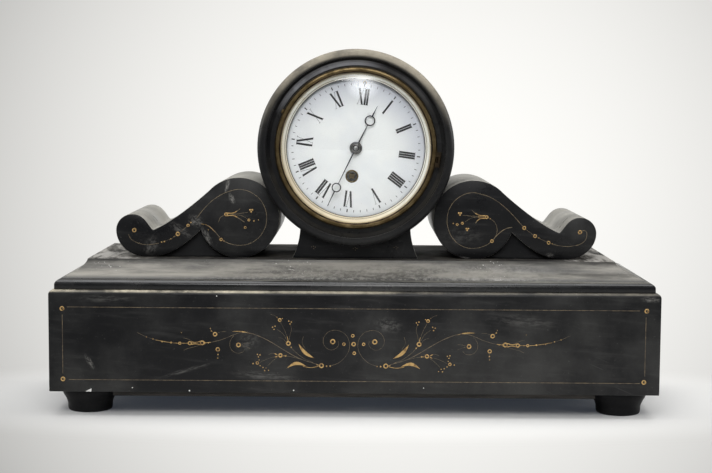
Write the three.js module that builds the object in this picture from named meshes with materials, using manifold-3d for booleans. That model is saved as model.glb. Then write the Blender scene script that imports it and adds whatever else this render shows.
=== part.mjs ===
// Black slate drum-head mantel clock with an eight-day French-type timepiece movement.
// Millimetres, +Z up, front towards -Y; the origin is on the floor under the middle of the plinth.
import * as THREE from "three";
import { mergeVertices } from "three/addons/utils/BufferGeometryUtils.js";
import Module from "manifold-3d";

// Plinth: a box of slate walls on four turned feet, under one moulded top slab.
const plinth_width = 545;
const plinth_depth = 175.5;
const wall_height = 91.3;
const wall_thickness = 16;
const wall_arris = 4;
const top_slab_height = 25.5;
const top_slab_inset = 4.5;
const flat_top_inset = 31.5;
const board_drop = 5;
const board_setback = 8;
const board_bed = 10;
const foot_height = 22;
const foot_radius = 25;
const foot_inset_across = 30.7;
const foot_inset_along = 34.5;
const stone_gap = 0.3;

// Outline of the top slab's moulding: share of the way inwards, share of the height.
const moulding_shares = [
  [0, 0],
  [0, 0.1],
  [0.07, 0.22],
  [0.15, 0.37],
  [0.24, 0.48],
  [0.35, 0.525],
  [0.52, 0.573],
  [0.674, 0.64],
  [0.83, 0.753],
  [0.944, 0.886],
  [1, 1],
];

// Turned profile of a foot: share of its radius, share of its height, from the sole up.
const foot_shares = [
  [0.76, 0],
  [0.8, 0.06],
  [0.812, 0.29],
  [0.845, 0.42],
  [0.9, 0.56],
  [0.976, 0.68],
  [1, 0.78],
  [1, 1],
];

// Drum: a hollow slate cylinder lying in a cradle, with a turned ring on its front.
const bore_round_plates = 24.4;
const drum_wall = 15;
const drum_rise = 13.8;
const drum_front = -43;
const drum_back = 76;
const ring_overhang = 1.9;
const ring_opening_clearance = 0.6;
const ring_depth = 19;
const ring_band = 8.4;
const ring_recess = 6;
const ring_slope = 2.8;
const ring_round = 7;
const cradle_width_share = 0.6562;
const cradle_waist = 7;

// Shaft for the pendulum, cut through the drum, the cradle and the top slab.
const shaft_half_width = 26;
const shaft_front = -7;
const shaft_back = 25;

// Scrolls: an S-shaped slate block on each side, a large volute against the drum and a small one outside.
const volute_radius = 36.8;
const scroll_margin = 53.6;
const scroll_back = 84;
const web_recess = 6;
const web_foot = 3;

// Control points of the scroll's outline beyond the volute, as shares of the way out and of its height.
const arm_shares = [
  [0.0282, 0.689],
  [0.3254, 0.431],
  [0.5379, 0.345],
];
const head_inner_shares = [
  [0.6107, 0.363],
  [0.6701, 0.535],
  [0.8098, 0.535],
];
const head_outer_shares = [
  [0.9153, 0.535],
  [1, 0.444],
  [1, 0.332],
];
const lobe_shares = [
  [1, 0.145],
  [0.8351, 0],
  [0.6508, 0],
];
const underside_shares = [
  [0.4978, 0],
  [0.2199, 0.179],
];
const volute_leaves_at = THREE.MathUtils.degToRad(43);
const volute_meets_at = THREE.MathUtils.degToRad(-19.6);
const web_starts_at = THREE.MathUtils.degToRad(-66);

// The whole movement, dial and bezel have slipped round in the case by this angle, clockwise from the front.
const movement_slip = THREE.MathUtils.degToRad(7.6);

// Bezel, glass and dial, all turned about the drum's axis.
const frame_fit = 2.9;
const frame_flange = 3.9;
const frame_wall = 1.4;
const frame_depth = 11;
const frame_stand = 1.2;
const frame_lip = 3.5;
const bezel_overlap = 0.4;
const bezel_width = 5.7;
const bezel_depth = 5.3;
const bezel_lip = 2.2;
const bezel_clearance = 0.3;
const bezel_shoulder_share = 0.1;
const bezel_inner_shoulder_share = 0.083;
const bezel_inner_drop_share = 0.25;
const glass_seat = 1.2;
const glass_thickness = 1.8;
const glass_rise = 7.5;
const glass_flat = 2.8;
const sight_width = 6.5;
const sight_metal = 0.8;
const sight_slope_depth = 3.6;
const hinge_offset = 1.8;
const hinge_lift = 2.9;
const hinge_leaf_lap = 1.4;
const knuckle_radius = 1.4;
const knuckle_half_length = 7;
const knuckle_split = 2.5;
const knuckle_clearance = 0.35;
const hinge_pin_radius = 0.7;
const pin_clearance = 0.25;
const thumb_tab_angle = THREE.MathUtils.degToRad(161.3);
const thumb_tab_width = 5;
const thumb_tab_reach = 1.5;
const thumb_tab_thickness = 1.4;
const dial_inset = 6;
const dial_thickness = 1.6;
const dial_centre_hole = 4.2;
const dial_plate_clearance = 0.7;
const dial_plate_thickness = 1.4;
const dial_foot_count = 3;
const first_dial_foot_angle = THREE.MathUtils.degToRad(50);
const dial_foot_circle = 40;
const dial_foot_radius = 1.8;
const winding_drop = 25.8;
const winding_hole_radius = 5.9;
const regulator_inset = 4;
const regulator_hole_radius = 1.8;

// Movement plates and pillars.
const plate_radius = 48;
const plate_thickness = 2.5;
const motion_space = 9.6;
const plate_spacing = 31.5;
const pillar_count = 4;
const pillar_inset = 6;
const pillar_radius = 2.6;
const pillar_swell = 3.5;
const pillar_collar = 3.2;

// Teeth: module of each mesh, and the numbers of teeth.
const barrel_module = 0.62;
const second_module = 0.6;
const centre_module = 0.42;
const third_module = 0.38;
const minute_module = 0.5;
const hour_module = 0.48;
const barrel_teeth = 60;
const second_pinion_leaves = 10;
const second_teeth = 48;
const centre_pinion_leaves = 8;
const centre_teeth = 72;
const third_pinion_leaves = 6;
const third_teeth = 72;
const escape_pinion_leaves = 6;
const escape_teeth = 28;
const cannon_leaves = 12;
const minute_teeth = 36;
const minute_pinion_leaves = 10;
const hour_teeth = 40;
const ratchet_teeth = 24;

// Tooth form, as shares of the module or of the pitch.
const wheel_addendum_share = 0.75;
const wheel_dedendum_share = 1.2;
const wheel_root_share = 1;
const leaf_addendum_share = 0.6;
const leaf_dedendum_share = 1.1;
const leaf_root_share = 0.36;
const leaf_tip_share = 0.13;

// Going train: depths are measured back from the inner face of the front plate.
const wheel_thickness = 1.4;
const thin_wheel_thickness = 1.2;
const wheel_rim = 1.8;
const wheel_arm = 1.6;
const wheel_hub = 3.4;
const wheel_arms = 4;
const arbor_radius = 0.9;
const fine_arbor_radius = 0.7;
const centre_arbor_radius = 1.6;
const pivot_radius = 0.5;
const pivot_clearance = 0.2;
const shoulder_clearance = 0.3;
const centre_wheel_depth = 0.9;
const centre_pinion_before_back = 6.5;
const centre_pinion_length = 4;
const second_pinion_before_back = 11.1;
const second_pinion_length = 5;
const second_wheel_before_back = 5.2;
const third_pinion_depth = 0.5;
const third_pinion_length = 2.8;
const third_wheel_depth = 12;
const escape_pinion_depth = 10.6;
const escape_pinion_length = 4;
const escape_wheel_depth = 17;
const escape_below_edge = 26;
const escape_radius = 10;
const escape_tooth_depth = 1.8;
const escape_lean_share = 0.55;
const escape_width_share = 0.6;

// Mainspring barrel and winding work.
const barrel_depth = 3.7;
const barrel_before_back = 7;
const barrel_radius = 17;
const barrel_wall = 1.4;
const barrel_flange = 3;
const barrel_cap_thickness = 1.4;
const winding_arbor_radius = 2.6;
const winding_clearance = 0.25;
const winding_square = 4.2;
const winding_square_length = 6.6;
const winding_end_below_dial = 2.4;
const winding_core_radius = 4.2;
const spring_thickness = 0.5;
const spring_short = 5.8;
const spring_turns = 4.5;
const spring_inner_radius = 5.4;
const spring_outer_radius = 14.7;
const ratchet_radius = 7.8;
const ratchet_tooth_depth = 1;
const ratchet_thickness = 1.8;
const ratchet_stand = 0.6;
const click_pivot_angle = THREE.MathUtils.degToRad(160);
const click_pivot_circle = 14.2;
const click_reach_teeth = 2;
const click_hub_radius = 2.2;
const click_nose_gap = 0.3;
const click_nose_lead = THREE.MathUtils.degToRad(2);
const click_width = 1.6;
const click_screw_radius = 0.9;
const click_spring_width = 0.6;
const click_spring_foot_radius = 2;
const click_spring_gap = 0.8;
const click_spring_length = 13;
const click_screw_head_radius = 1.8;
const click_screw_head = 0.8;

// Motion work behind the dial: depths are measured forward from the front plate.
const cannon_foot = 1;
const cannon_pinion_stand = 2;
const cannon_pinion_length = 3.4;
const cannon_wall = 0.7;
const cannon_clearance = 0.2;
const minute_wheel_stand = 3.4;
const motion_wheel_thickness = 1.2;
const minute_pinion_length = 3;
const hour_wheel_stand = 6.4;
const hour_pipe_wall = 0.7;
const minute_stud_radius = 1;
const minute_stud_angle = THREE.MathUtils.degToRad(20);

// Hands: open-ring hands, measured from the centre of the dial.
const hour_hand_stand = 2;
const minute_hand_stand = 4.4;
const hand_thickness = 0.7;
const hour_hand_shorter = 15.6;
const hour_ring_below_tip = 14.7;
const hour_ring_radius = 4.8;
const hour_hub_radius = 5.6;
const minute_hand_inset = 5.5;
const minute_ring_below_tip = 18.4;
const minute_ring_radius = 4.3;
const minute_hub_radius = 4.4;
const hand_ring_width = 1;
const hand_shank_width = 1.3;
const hand_tip_width = 0.5;
const hand_clearance = 0.25;
const collet_radius = 3;
const collet_length = 2.2;
const hour_hand_angle = THREE.MathUtils.degToRad(27 - 7.6);
const minute_hand_angle = THREE.MathUtils.degToRad(205.9 - 7.6);

// Escapement and pendulum: the anchor, crutch and pendulum share one axis.
const anchor_rise = 15;
const anchor_thickness = 2.4;
const anchor_band = 2.6;
const anchor_swing_gap = 0.85;
const anchor_half_span = THREE.MathUtils.degToRad(50);
const anchor_hub_radius = 2.4;
const anchor_arbor_radius = 0.9;
const crutch_behind_plate = 1.2;
const crutch_thickness = 1.4;
const crutch_width = 2.4;
const crutch_length = 44;
const crutch_hub_radius = 2.6;
const fork_width = 7.2;
const fork_height = 3;
const fork_slot = 3.2;
const fork_beyond_rod = 2.2;
const cock_behind_plate = 5.4;
const cock_thickness = 2.4;
const cock_half_width = 17;
const cock_height = 9;
const cock_foot_radius = 3.2;
const cock_neck_half_width = 6;
const cock_neck_rise = 26;
const chop_half_width = 4.2;
const chop_length = 15;
const chop_reach = 9;
const chop_slit = 1.8;
const strip_thickness = 0.4;
const strip_width = 5;
const strip_drop = 9;
const strip_grip = 2.4;
const pendulum_stand = 5.5;
const crutch_clearance = 0.3;
const bob_above_board = 27.6;
const rod_radius = 1.1;
const rod_head_half_width = 2.6;
const rod_head_height = 7;
const bob_radius = 19;
const bob_half_thickness = 4.6;
const bob_edge = 1.2;
const bob_shoulder_share = 0.8;
const rating_nut_radius = 3.2;
const rating_nut_height = 3;
const regulator_arbor_radius = 1.1;
const regulator_end_below_dial = 0.8;
const regulator_collar_radius = 2.4;
const regulator_collar_length = 2;

// Straps that clamp the case between the bezel frame and the rear frame.
const strap_inset = 1.5;
const strap_width = 9;
const strap_thickness = 1.6;
const strap_foot = 5;
const strap_block = 7;
const strap_short_of_frame = 6;
const case_screw_radius = 1.6;
const case_screw_head_radius = 3.2;
const case_screw_head = 1.6;
const case_screw_reach = 9;
const case_screw_clearance = 0.3;
const rear_frame_lap = 6.6;
const rear_frame_band = 14.4;
const rear_frame_thickness = 1.8;
const rear_spigot_clearance = 0.5;
const rear_spigot_wall = 1.6;
const rear_spigot_depth = 5;
const rear_door_lap = 2.4;
const rear_door_thickness = 1.4;
const rear_door_dome = 2.2;
const rear_door_rim = 3;
const rear_door_clearance = 0.3;
const rear_hinge_offset = 2;
const rear_hinge_lift = 1;
const rear_knuckle_half_length = 9;
const rear_ear = 3;
const rear_knob_inset = 10.4;
const rear_knob_radius = 3;
const rear_knob_length = 4;

// Facets: how many sides a turned or drilled shape gets.
const large_sides = 30;
const drum_sides = 36;
const plate_sides = 30;
const barrel_sides = 24;
const middle_sides = 16;
const small_sides = 12;
const pivot_sides = 8;
const foot_sides = 16;
const crossing_sides = 3;
const ring_round_sides = 4;
const glass_dome_sides = 3;
const anchor_sides = 8;
const spring_turn_sides = 12;

const weld_distance = 0.001;
const overrun = 4;

// Places worked out from the sizes above.
const drum_bore_radius = plate_radius + bore_round_plates;
const drum_radius = drum_bore_radius + drum_wall;
const ring_radius = drum_radius + ring_overhang;
const ring_step_radius = ring_radius - ring_band;
const cradle_half_width = drum_radius * cradle_width_share;
const scroll_reach = plinth_width / 2 - scroll_margin;
const frame_bore_radius = drum_bore_radius - frame_fit;
const frame_radius = frame_bore_radius + frame_flange;
const bezel_radius = frame_radius + bezel_overlap;
const bezel_bore_radius = bezel_radius - bezel_width;
const glass_radius = bezel_bore_radius + glass_seat;
const sight_bore_radius = bezel_bore_radius - sight_width;
const dial_radius = frame_bore_radius - dial_inset;
const regulator_rise = dial_radius - regulator_inset;
const minute_hand_length = dial_radius - minute_hand_inset;
const minute_ring_at = minute_hand_length - minute_ring_below_tip;
const hour_hand_length = minute_hand_length - hour_hand_shorter;
const hour_ring_at = hour_hand_length - hour_ring_below_tip;
const rear_frame_radius = drum_bore_radius + rear_frame_lap;
const rear_frame_bore_radius = drum_bore_radius - rear_frame_band;
const ring_opening_radius = frame_bore_radius + frame_wall + ring_opening_clearance;
const dial_plate_radius = frame_bore_radius - dial_plate_clearance;
const rear_spigot_radius = drum_bore_radius - rear_spigot_clearance;
const rear_door_radius = rear_frame_bore_radius + rear_door_lap;
const rear_knob_at = rear_door_radius - rear_knob_inset;
const strap_at = frame_bore_radius - strap_inset;
const wall_top = foot_height + wall_height;
const flat_top = wall_top + top_slab_height;
const drum_axis_height = flat_top + drum_rise + drum_radius;
const front_face = -plinth_depth / 2;
const back_face = plinth_depth / 2;
const volute_z = flat_top + volute_radius - stone_gap;
const volute_x = Math.sqrt(
  (drum_radius + stone_gap + volute_radius) ** 2 - (drum_axis_height - volute_z) ** 2,
);
const ring_front = drum_front - ring_depth;
const ring_face = ring_front + ring_recess;
const frame_back = ring_face - bezel_clearance / 2;
const frame_front = frame_back - frame_stand;
const bezel_back = frame_front - bezel_clearance;
const bezel_front = bezel_back - bezel_depth;
const frame_end = frame_front + frame_depth;
const dial_plate_back = frame_end - frame_wall;
const dial_back = dial_plate_back - dial_plate_thickness;
const dial_front = dial_back - dial_thickness;
const front_plate_front = dial_plate_back + motion_space;
const front_plate_back = front_plate_front + plate_thickness;
const back_plate_front = front_plate_back + plate_spacing;
const back_plate_back = back_plate_front + plate_thickness;
const rear_frame_back = drum_back + rear_frame_thickness;
const rear_door_front = rear_frame_back + rear_door_clearance;
const rear_door_back = rear_door_front + rear_door_thickness;
const hinge_x = bezel_radius + hinge_offset;
const hinge_y = bezel_back - hinge_lift;
const ring_flat_radius = hinge_x + knuckle_radius + stone_gap;
const hour_hand_front = dial_front - hour_hand_stand - hand_thickness;
const minute_hand_front = dial_front - minute_hand_stand - hand_thickness;
const cannon_radius = centre_arbor_radius + cannon_clearance + cannon_wall;
const hour_pipe_radius = cannon_radius + cannon_clearance + hour_pipe_wall;
const cock_front = back_plate_back + cock_behind_plate;
const cock_back = cock_front + cock_thickness;
const pillar_circle = plate_radius - pillar_inset;
const barrel_length = plate_spacing - barrel_depth - barrel_before_back;
const spring_height = barrel_length - spring_short;
const second_pinion_depth = plate_spacing - second_pinion_before_back;
const second_wheel_depth = plate_spacing - second_wheel_before_back;
const centre_pinion_depth = plate_spacing - centre_pinion_before_back;
const escape_rise = plate_radius - escape_below_edge;
const cock_foot_at = cock_half_width - cock_foot_radius;
const pendulum_y = cock_back + pendulum_stand;
const rear_hinge_x = rear_door_radius + rear_hinge_offset;
const rear_hinge_y = rear_door_back + rear_hinge_lift;

const wasm = await Module();
wasm.setup();

// A closed geometry as a solid that can be cut and joined.
function toSolid(geometry) {
  const bare = geometry.index ? geometry.toNonIndexed() : geometry.clone();
  bare.deleteAttribute("normal");
  bare.deleteAttribute("uv");
  const merged = mergeVertices(bare, weld_distance);
  return new wasm.Manifold(
    new wasm.Mesh({
      numProp: 3,
      vertProperties: merged.attributes.position.array,
      triVerts: new Uint32Array(merged.index.array),
    }),
  );
}

function toGeometry(solid) {
  const mesh = solid.getMesh();
  const geometry = new THREE.BufferGeometry();
  geometry.setAttribute("position", new THREE.BufferAttribute(mesh.vertProperties, mesh.numProp));
  geometry.setIndex(new THREE.BufferAttribute(mesh.triVerts, 1));
  return geometry;
}

function joined(...geometries) {
  return toGeometry(geometries.map(toSolid).reduce((whole, piece) => whole.add(piece)));
}

function cut(geometry, ...cutters) {
  return toGeometry(cutters.map(toSolid).reduce((rest, cutter) => rest.subtract(cutter), toSolid(geometry)));
}

function kept(geometry, region) {
  return toGeometry(toSolid(geometry).intersect(toSolid(region)));
}

function box(left, right, front, back, low, high) {
  const geometry = new THREE.BoxGeometry(right - left, back - front, high - low);
  return geometry.translate((left + right) / 2, (front + back) / 2, (low + high) / 2);
}

// A solid turned about the depth axis; the profile holds [radius, depth] points.
function turned(profile, sides) {
  const onAxis = profile[0][0] === 0;
  const closed = onAxis ? profile : [...profile, profile[0]];
  const area = closed.reduce((sum, [r, y], i) => {
    const [nextR, nextY] = closed[(i + 1) % closed.length];
    return sum + r * nextY - nextR * y;
  }, 0);
  const points = closed.map(([r, y]) => new THREE.Vector2(r, y));
  return new THREE.LatheGeometry(area > 0 ? points : points.reverse(), sides);
}

// A round bar along the depth axis.
function bar(radius, front, back, sides, x = 0, z = 0) {
  const geometry = new THREE.CylinderGeometry(radius, radius, back - front, sides);
  return geometry.translate(x, (front + back) / 2, z);
}

// A drilling tool whose flats clear a round bar of the given radius.
function drill(radius, front, back, sides, x = 0, z = 0) {
  return bar(radius / Math.cos(Math.PI / sides), front - overrun, back + overrun, sides, x, z);
}

// A face outline in x and z, given thickness along the depth axis.
function plate(shape, front, back, curveSegments = small_sides) {
  const geometry = new THREE.ExtrudeGeometry(shape, {
    depth: back - front,
    bevelEnabled: false,
    curveSegments,
  });
  return geometry.rotateX(Math.PI / 2).translate(0, back, 0);
}

function circlePath(radius, sides, x = 0, z = 0) {
  const points = Array.from({ length: sides }, (_, i) => {
    const angle = (2 * Math.PI * i) / sides;
    return new THREE.Vector2(x + radius * Math.cos(angle), z + radius * Math.sin(angle));
  });
  return new THREE.Path(points);
}

function clearHole(radius, sides, x = 0, z = 0) {
  return circlePath(radius / Math.cos(Math.PI / sides), sides, x, z);
}

function onCircle(radius, angle, centre = { x: 0, z: 0 }) {
  return { x: centre.x + radius * Math.cos(angle), z: centre.z + radius * Math.sin(angle) };
}

// The point at two given distances from two centres; side is +1 for the right-hand one of the two.
function meeting(a, fromA, b, fromB, side) {
  const dx = b.x - a.x;
  const dz = b.z - a.z;
  const apart = Math.hypot(dx, dz);
  const along = (fromA ** 2 - fromB ** 2 + apart ** 2) / (2 * apart);
  const aside = side * Math.sqrt(fromA ** 2 - along ** 2);
  return { x: a.x + (dx * along - dz * aside) / apart, z: a.z + (dz * along + dx * aside) / apart };
}

function direction(from, to) {
  return Math.atan2(to.z - from.z, to.x - from.x);
}

// Tooth outline about a centre, with one tooth centred on the angle given.
function toothPoints(centre, teeth, pitchRadius, addendum, dedendum, rootShare, tipShare, toothAt) {
  const pitch = (2 * Math.PI) / teeth;
  const root = pitchRadius - dedendum;
  const tip = pitchRadius + addendum;
  const rootHalf = (pitch * rootShare) / 2;
  const tipHalf = (pitch * tipShare) / 2;
  const points = [];
  for (let i = 0; i < teeth; i += 1) {
    const middle = toothAt + i * pitch;
    const corners = [[root, middle - rootHalf], [tip, middle - tipHalf]];
    if (tipShare > 0) corners.push([tip, middle + tipHalf]);
    if (rootShare < 1) corners.push([root, middle + rootHalf]);
    for (const [radius, angle] of corners) {
      const { x, z } = onCircle(radius, angle, centre);
      points.push(new THREE.Vector2(x, z));
    }
  }
  return points;
}

// Window between two arms of a wheel.
function crossing(centre, innerRadius, outerRadius, from, to, armWidth) {
  const innerTrim = Math.asin(armWidth / 2 / innerRadius);
  const outerTrim = Math.asin(armWidth / 2 / outerRadius);
  const points = [];
  for (let i = 0; i <= crossing_sides; i += 1) {
    const angle = from + outerTrim + ((to - from - 2 * outerTrim) * i) / crossing_sides;
    points.push(onCircle(outerRadius, angle, centre));
  }
  for (let i = 1; i >= 0; i -= 1) {
    points.push(onCircle(innerRadius, from + innerTrim + (to - from - 2 * innerTrim) * i, centre));
  }
  return new THREE.Path(points.map(({ x, z }) => new THREE.Vector2(x, z)));
}

// A crossed-out wheel with pointed teeth, one of them centred on the angle given.
function wheel(centre, teeth, module, front, back, toothAt, arms, hubRadius) {
  const pitchRadius = (teeth * module) / 2;
  const addendum = module * wheel_addendum_share;
  const dedendum = module * wheel_dedendum_share;
  const shape = new THREE.Shape(
    toothPoints(centre, teeth, pitchRadius, addendum, dedendum, wheel_root_share, 0, toothAt),
  );
  const rimInner = pitchRadius - dedendum - wheel_rim;
  for (let i = 0; i < arms; i += 1) {
    const from = toothAt + (2 * Math.PI * i) / arms;
    shape.holes.push(crossing(centre, hubRadius, rimInner, from, from + (2 * Math.PI) / arms, wheel_arm));
  }
  return plate(shape, front, back);
}

// A pinion: blunt leaves, with a gap centred on the angle given.
function pinion(centre, leaves, module, front, back, gapAt) {
  const shape = new THREE.Shape(
    toothPoints(
      centre,
      leaves,
      (leaves * module) / 2,
      module * leaf_addendum_share,
      module * leaf_dedendum_share,
      leaf_root_share,
      leaf_tip_share,
      gapAt + Math.PI / leaves,
    ),
  );
  return plate(shape, front, back);
}

// An arbor between the plates, with a thin pivot running in each.
function arbor(centre, radius, pivotBack = back_plate_back) {
  const front = front_plate_back + shoulder_clearance;
  const back = back_plate_front - shoulder_clearance;
  const profile = [
    [0, front_plate_front],
    [pivot_radius, front_plate_front],
    [pivot_radius, front],
    [radius, front],
    [radius, back],
    [pivot_radius, back],
    [pivot_radius, pivotBack],
    [0, pivotBack],
  ];
  return turned(profile, pivot_sides).translate(centre.x, 0, centre.z);
}

// Where the arbors stand, seen from the front with the dial upright.
const centre_at = { x: 0, z: 0 };
const barrel_at = { x: 0, z: -winding_drop };
const escape_at = { x: 0, z: escape_rise };
const anchor_at = { x: 0, z: escape_rise + anchor_rise };
const pendulum_axis_height = drum_axis_height + anchor_at.z * Math.cos(movement_slip);
const pendulum_length = pendulum_axis_height - foot_height - board_bed - bob_above_board - bob_radius;
const barrel_to_second = (barrel_module * (barrel_teeth + second_pinion_leaves)) / 2;
const second_to_centre = (second_module * (second_teeth + centre_pinion_leaves)) / 2;
const centre_to_third = (centre_module * (centre_teeth + third_pinion_leaves)) / 2;
const third_to_escape = (third_module * (third_teeth + escape_pinion_leaves)) / 2;
const second_at = meeting(barrel_at, barrel_to_second, centre_at, second_to_centre, -1);
const third_at = meeting(centre_at, centre_to_third, escape_at, third_to_escape, 1);
const minute_stud_at = onCircle((minute_module * (cannon_leaves + minute_teeth)) / 2, minute_stud_angle);
const click_pivot_at = onCircle(click_pivot_circle, click_pivot_angle, barrel_at);

const slate = new THREE.MeshStandardMaterial({ color: 0x2a2b2d, roughness: 0.55, metalness: 0 });
const oak = new THREE.MeshStandardMaterial({ color: 0x3a2a1d, roughness: 0.8, metalness: 0 });
const brass = new THREE.MeshStandardMaterial({ color: 0xb08d4a, roughness: 0.35, metalness: 1 });
const gilt = new THREE.MeshStandardMaterial({ color: 0xd9c38a, roughness: 0.25, metalness: 1 });
const steel = new THREE.MeshStandardMaterial({ color: 0x9a9da2, roughness: 0.3, metalness: 1 });
const blued = new THREE.MeshStandardMaterial({ color: 0x2b2e3a, roughness: 0.3, metalness: 1 });
const enamel = new THREE.MeshStandardMaterial({ color: 0xf1f0ec, roughness: 0.15, metalness: 0 });
const pane = new THREE.MeshStandardMaterial({
  color: 0xffffff,
  roughness: 0.05,
  metalness: 0,
  transparent: true,
  opacity: 0.25,
});

const clock = new THREE.Group();
const movement = new THREE.Group();
movement.position.z = drum_axis_height;
movement.rotation.y = movement_slip;
clock.add(movement);

function place(group, name, geometry, material) {
  const mesh = new THREE.Mesh(geometry, material);
  mesh.name = name;
  group.add(mesh);
  return mesh;
}

// A block whose front and sides follow [inset, height] levels, with a plain flat back.
function mouldedBlock(levels) {
  const positions = levels.flatMap(([inset, height]) => {
    const side = plinth_width / 2 - inset;
    const front = front_face + inset;
    return [-side, front, height, side, front, height, side, back_face, height, -side, back_face, height];
  });
  const corners = 4;
  const faces = [0, 2, 1, 0, 3, 2];
  for (let level = 0; level < levels.length - 1; level += 1) {
    for (let corner = 0; corner < corners; corner += 1) {
      const next = (corner + 1) % corners;
      const a = level * corners + corner;
      const b = level * corners + next;
      faces.push(a, b, b + corners, a, b + corners, a + corners);
    }
  }
  const top = (levels.length - 1) * corners;
  faces.push(top, top + 1, top + 2, top, top + 2, top + 3);
  const geometry = new THREE.BufferGeometry();
  geometry.setAttribute("position", new THREE.Float32BufferAttribute(positions, 3));
  geometry.setIndex(faces);
  return geometry;
}

function pendulumShaft(low, high) {
  return box(-shaft_half_width, shaft_half_width, shaft_front, shaft_back, low - overrun, high + overrun);
}

function plinthWalls() {
  const half = plinth_width / 2;
  const inner = half - wall_thickness;
  const block = mouldedBlock([
    [0, foot_height],
    [0, wall_top - wall_arris],
    [wall_arris, wall_top],
  ]);
  const low = foot_height - overrun;
  const high = wall_top + overrun;
  const behindFront = front_face + wall_thickness;
  const beforeBack = back_face - wall_thickness;
  const front = box(-half - overrun, half + overrun, front_face - overrun, behindFront, low, high);
  const back = box(-inner, inner, beforeBack, back_face + overrun, low, high);
  const endFront = behindFront + stone_gap;
  const left = box(-half - overrun, -inner - stone_gap, endFront, back_face + overrun, low, high);
  const right = box(inner + stone_gap, half + overrun, endFront, back_face + overrun, low, high);
  place(clock, "plinth_front_slab", kept(block, front), slate);
  place(clock, "plinth_back_slab", kept(block, back), slate);
  place(clock, "plinth_left_slab", kept(block, left), slate);
  place(clock, "plinth_right_slab", kept(block, right), slate);
}

function baseBoard() {
  const inset = wall_thickness + stone_gap;
  const bedHalf = plinth_width / 2 - inset;
  const bedTop = foot_height + board_bed;
  const bed = box(-bedHalf, bedHalf, front_face + inset, back_face - inset, foot_height, bedTop);
  const half = plinth_width / 2 - board_setback;
  const lowest = foot_height - board_drop;
  const apron = box(-half, half, front_face + board_setback, back_face - board_setback, lowest, foot_height);
  const notchAcross = foot_inset_across + foot_radius + stone_gap;
  const notchAlong = foot_inset_along + foot_radius + stone_gap;
  const notches = [-1, 1].flatMap((side) =>
    [-1, 1].map((end) => {
      const x = side * (plinth_width / 2 - notchAcross / 2);
      const y = end * (plinth_depth / 2 - notchAlong / 2);
      const [halfX, halfY] = [notchAcross / 2, notchAlong / 2];
      return box(x - halfX, x + halfX, y - halfY, y + halfY, lowest - overrun, foot_height);
    }),
  );
  place(clock, "base_board", joined(cut(apron, ...notches), bed), oak);
}

function feet() {
  const profile = foot_shares.map(([r, h]) => [r * foot_radius, h * foot_height]);
  const whole = [[0, 0], ...profile, [0, foot_height]];
  const footAt = plinth_width / 2 - foot_inset_across;
  for (const [end, y] of [["front", front_face + foot_inset_along], ["back", back_face - foot_inset_along]]) {
    for (const [side, x] of [["left", -footAt], ["right", footAt]]) {
      const foot = place(clock, `foot_${end}_${side}`, turned(whole, foot_sides).rotateX(Math.PI / 2), slate);
      foot.position.set(x, y, 0);
    }
  }
}

function topSlab() {
  const levels = moulding_shares.map(([inwards, upwards]) => [
    top_slab_inset + inwards * (flat_top_inset - top_slab_inset),
    wall_top + upwards * top_slab_height,
  ]);
  place(clock, "top_moulding_slab", cut(mouldedBlock(levels), pendulumShaft(wall_top, flat_top)), slate);
}

// A point of the scroll's outline from its shares; side is -1 for the left scroll.
function scrollPoint([along, up], side) {
  const volute_edge = volute_x + volute_radius;
  const x = volute_edge + along * (scroll_reach - volute_edge);
  return [side * x, flat_top + stone_gap + up * 2 * volute_radius];
}

function curveThrough(shape, shares, side) {
  const [first, second, end] = shares.map((share) => scrollPoint(share, side));
  shape.bezierCurveTo(...first, ...second, ...end);
}

function mirrored(angle, side) {
  return side > 0 ? angle : Math.PI - angle;
}

function scroll(side) {
  const centre = { x: side * volute_x, z: volute_z };
  const leaves = onCircle(volute_radius, mirrored(volute_leaves_at, side), centre);
  const meets = onCircle(volute_radius, mirrored(volute_meets_at, side), centre);
  const shape = new THREE.Shape();
  shape.moveTo(leaves.x, leaves.z);
  curveThrough(shape, arm_shares, side);
  curveThrough(shape, head_inner_shares, side);
  curveThrough(shape, head_outer_shares, side);
  curveThrough(shape, lobe_shares, side);
  const [first, second] = underside_shares.map((share) => scrollPoint(share, side));
  shape.bezierCurveTo(...first, ...second, meets.x, meets.z);
  const start = mirrored(volute_meets_at, side);
  const end = mirrored(volute_leaves_at, side);
  shape.absarc(centre.x, centre.z, volute_radius, start, end, side > 0);
  const block = plate(shape, drum_front, scroll_back, small_sides);
  const bed = flat_top + stone_gap;
  const reach = scroll_reach + overrun;
  return cut(block, box(-reach, reach, drum_front - overrun, scroll_back + overrun, bed - overrun, bed));
}

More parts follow.
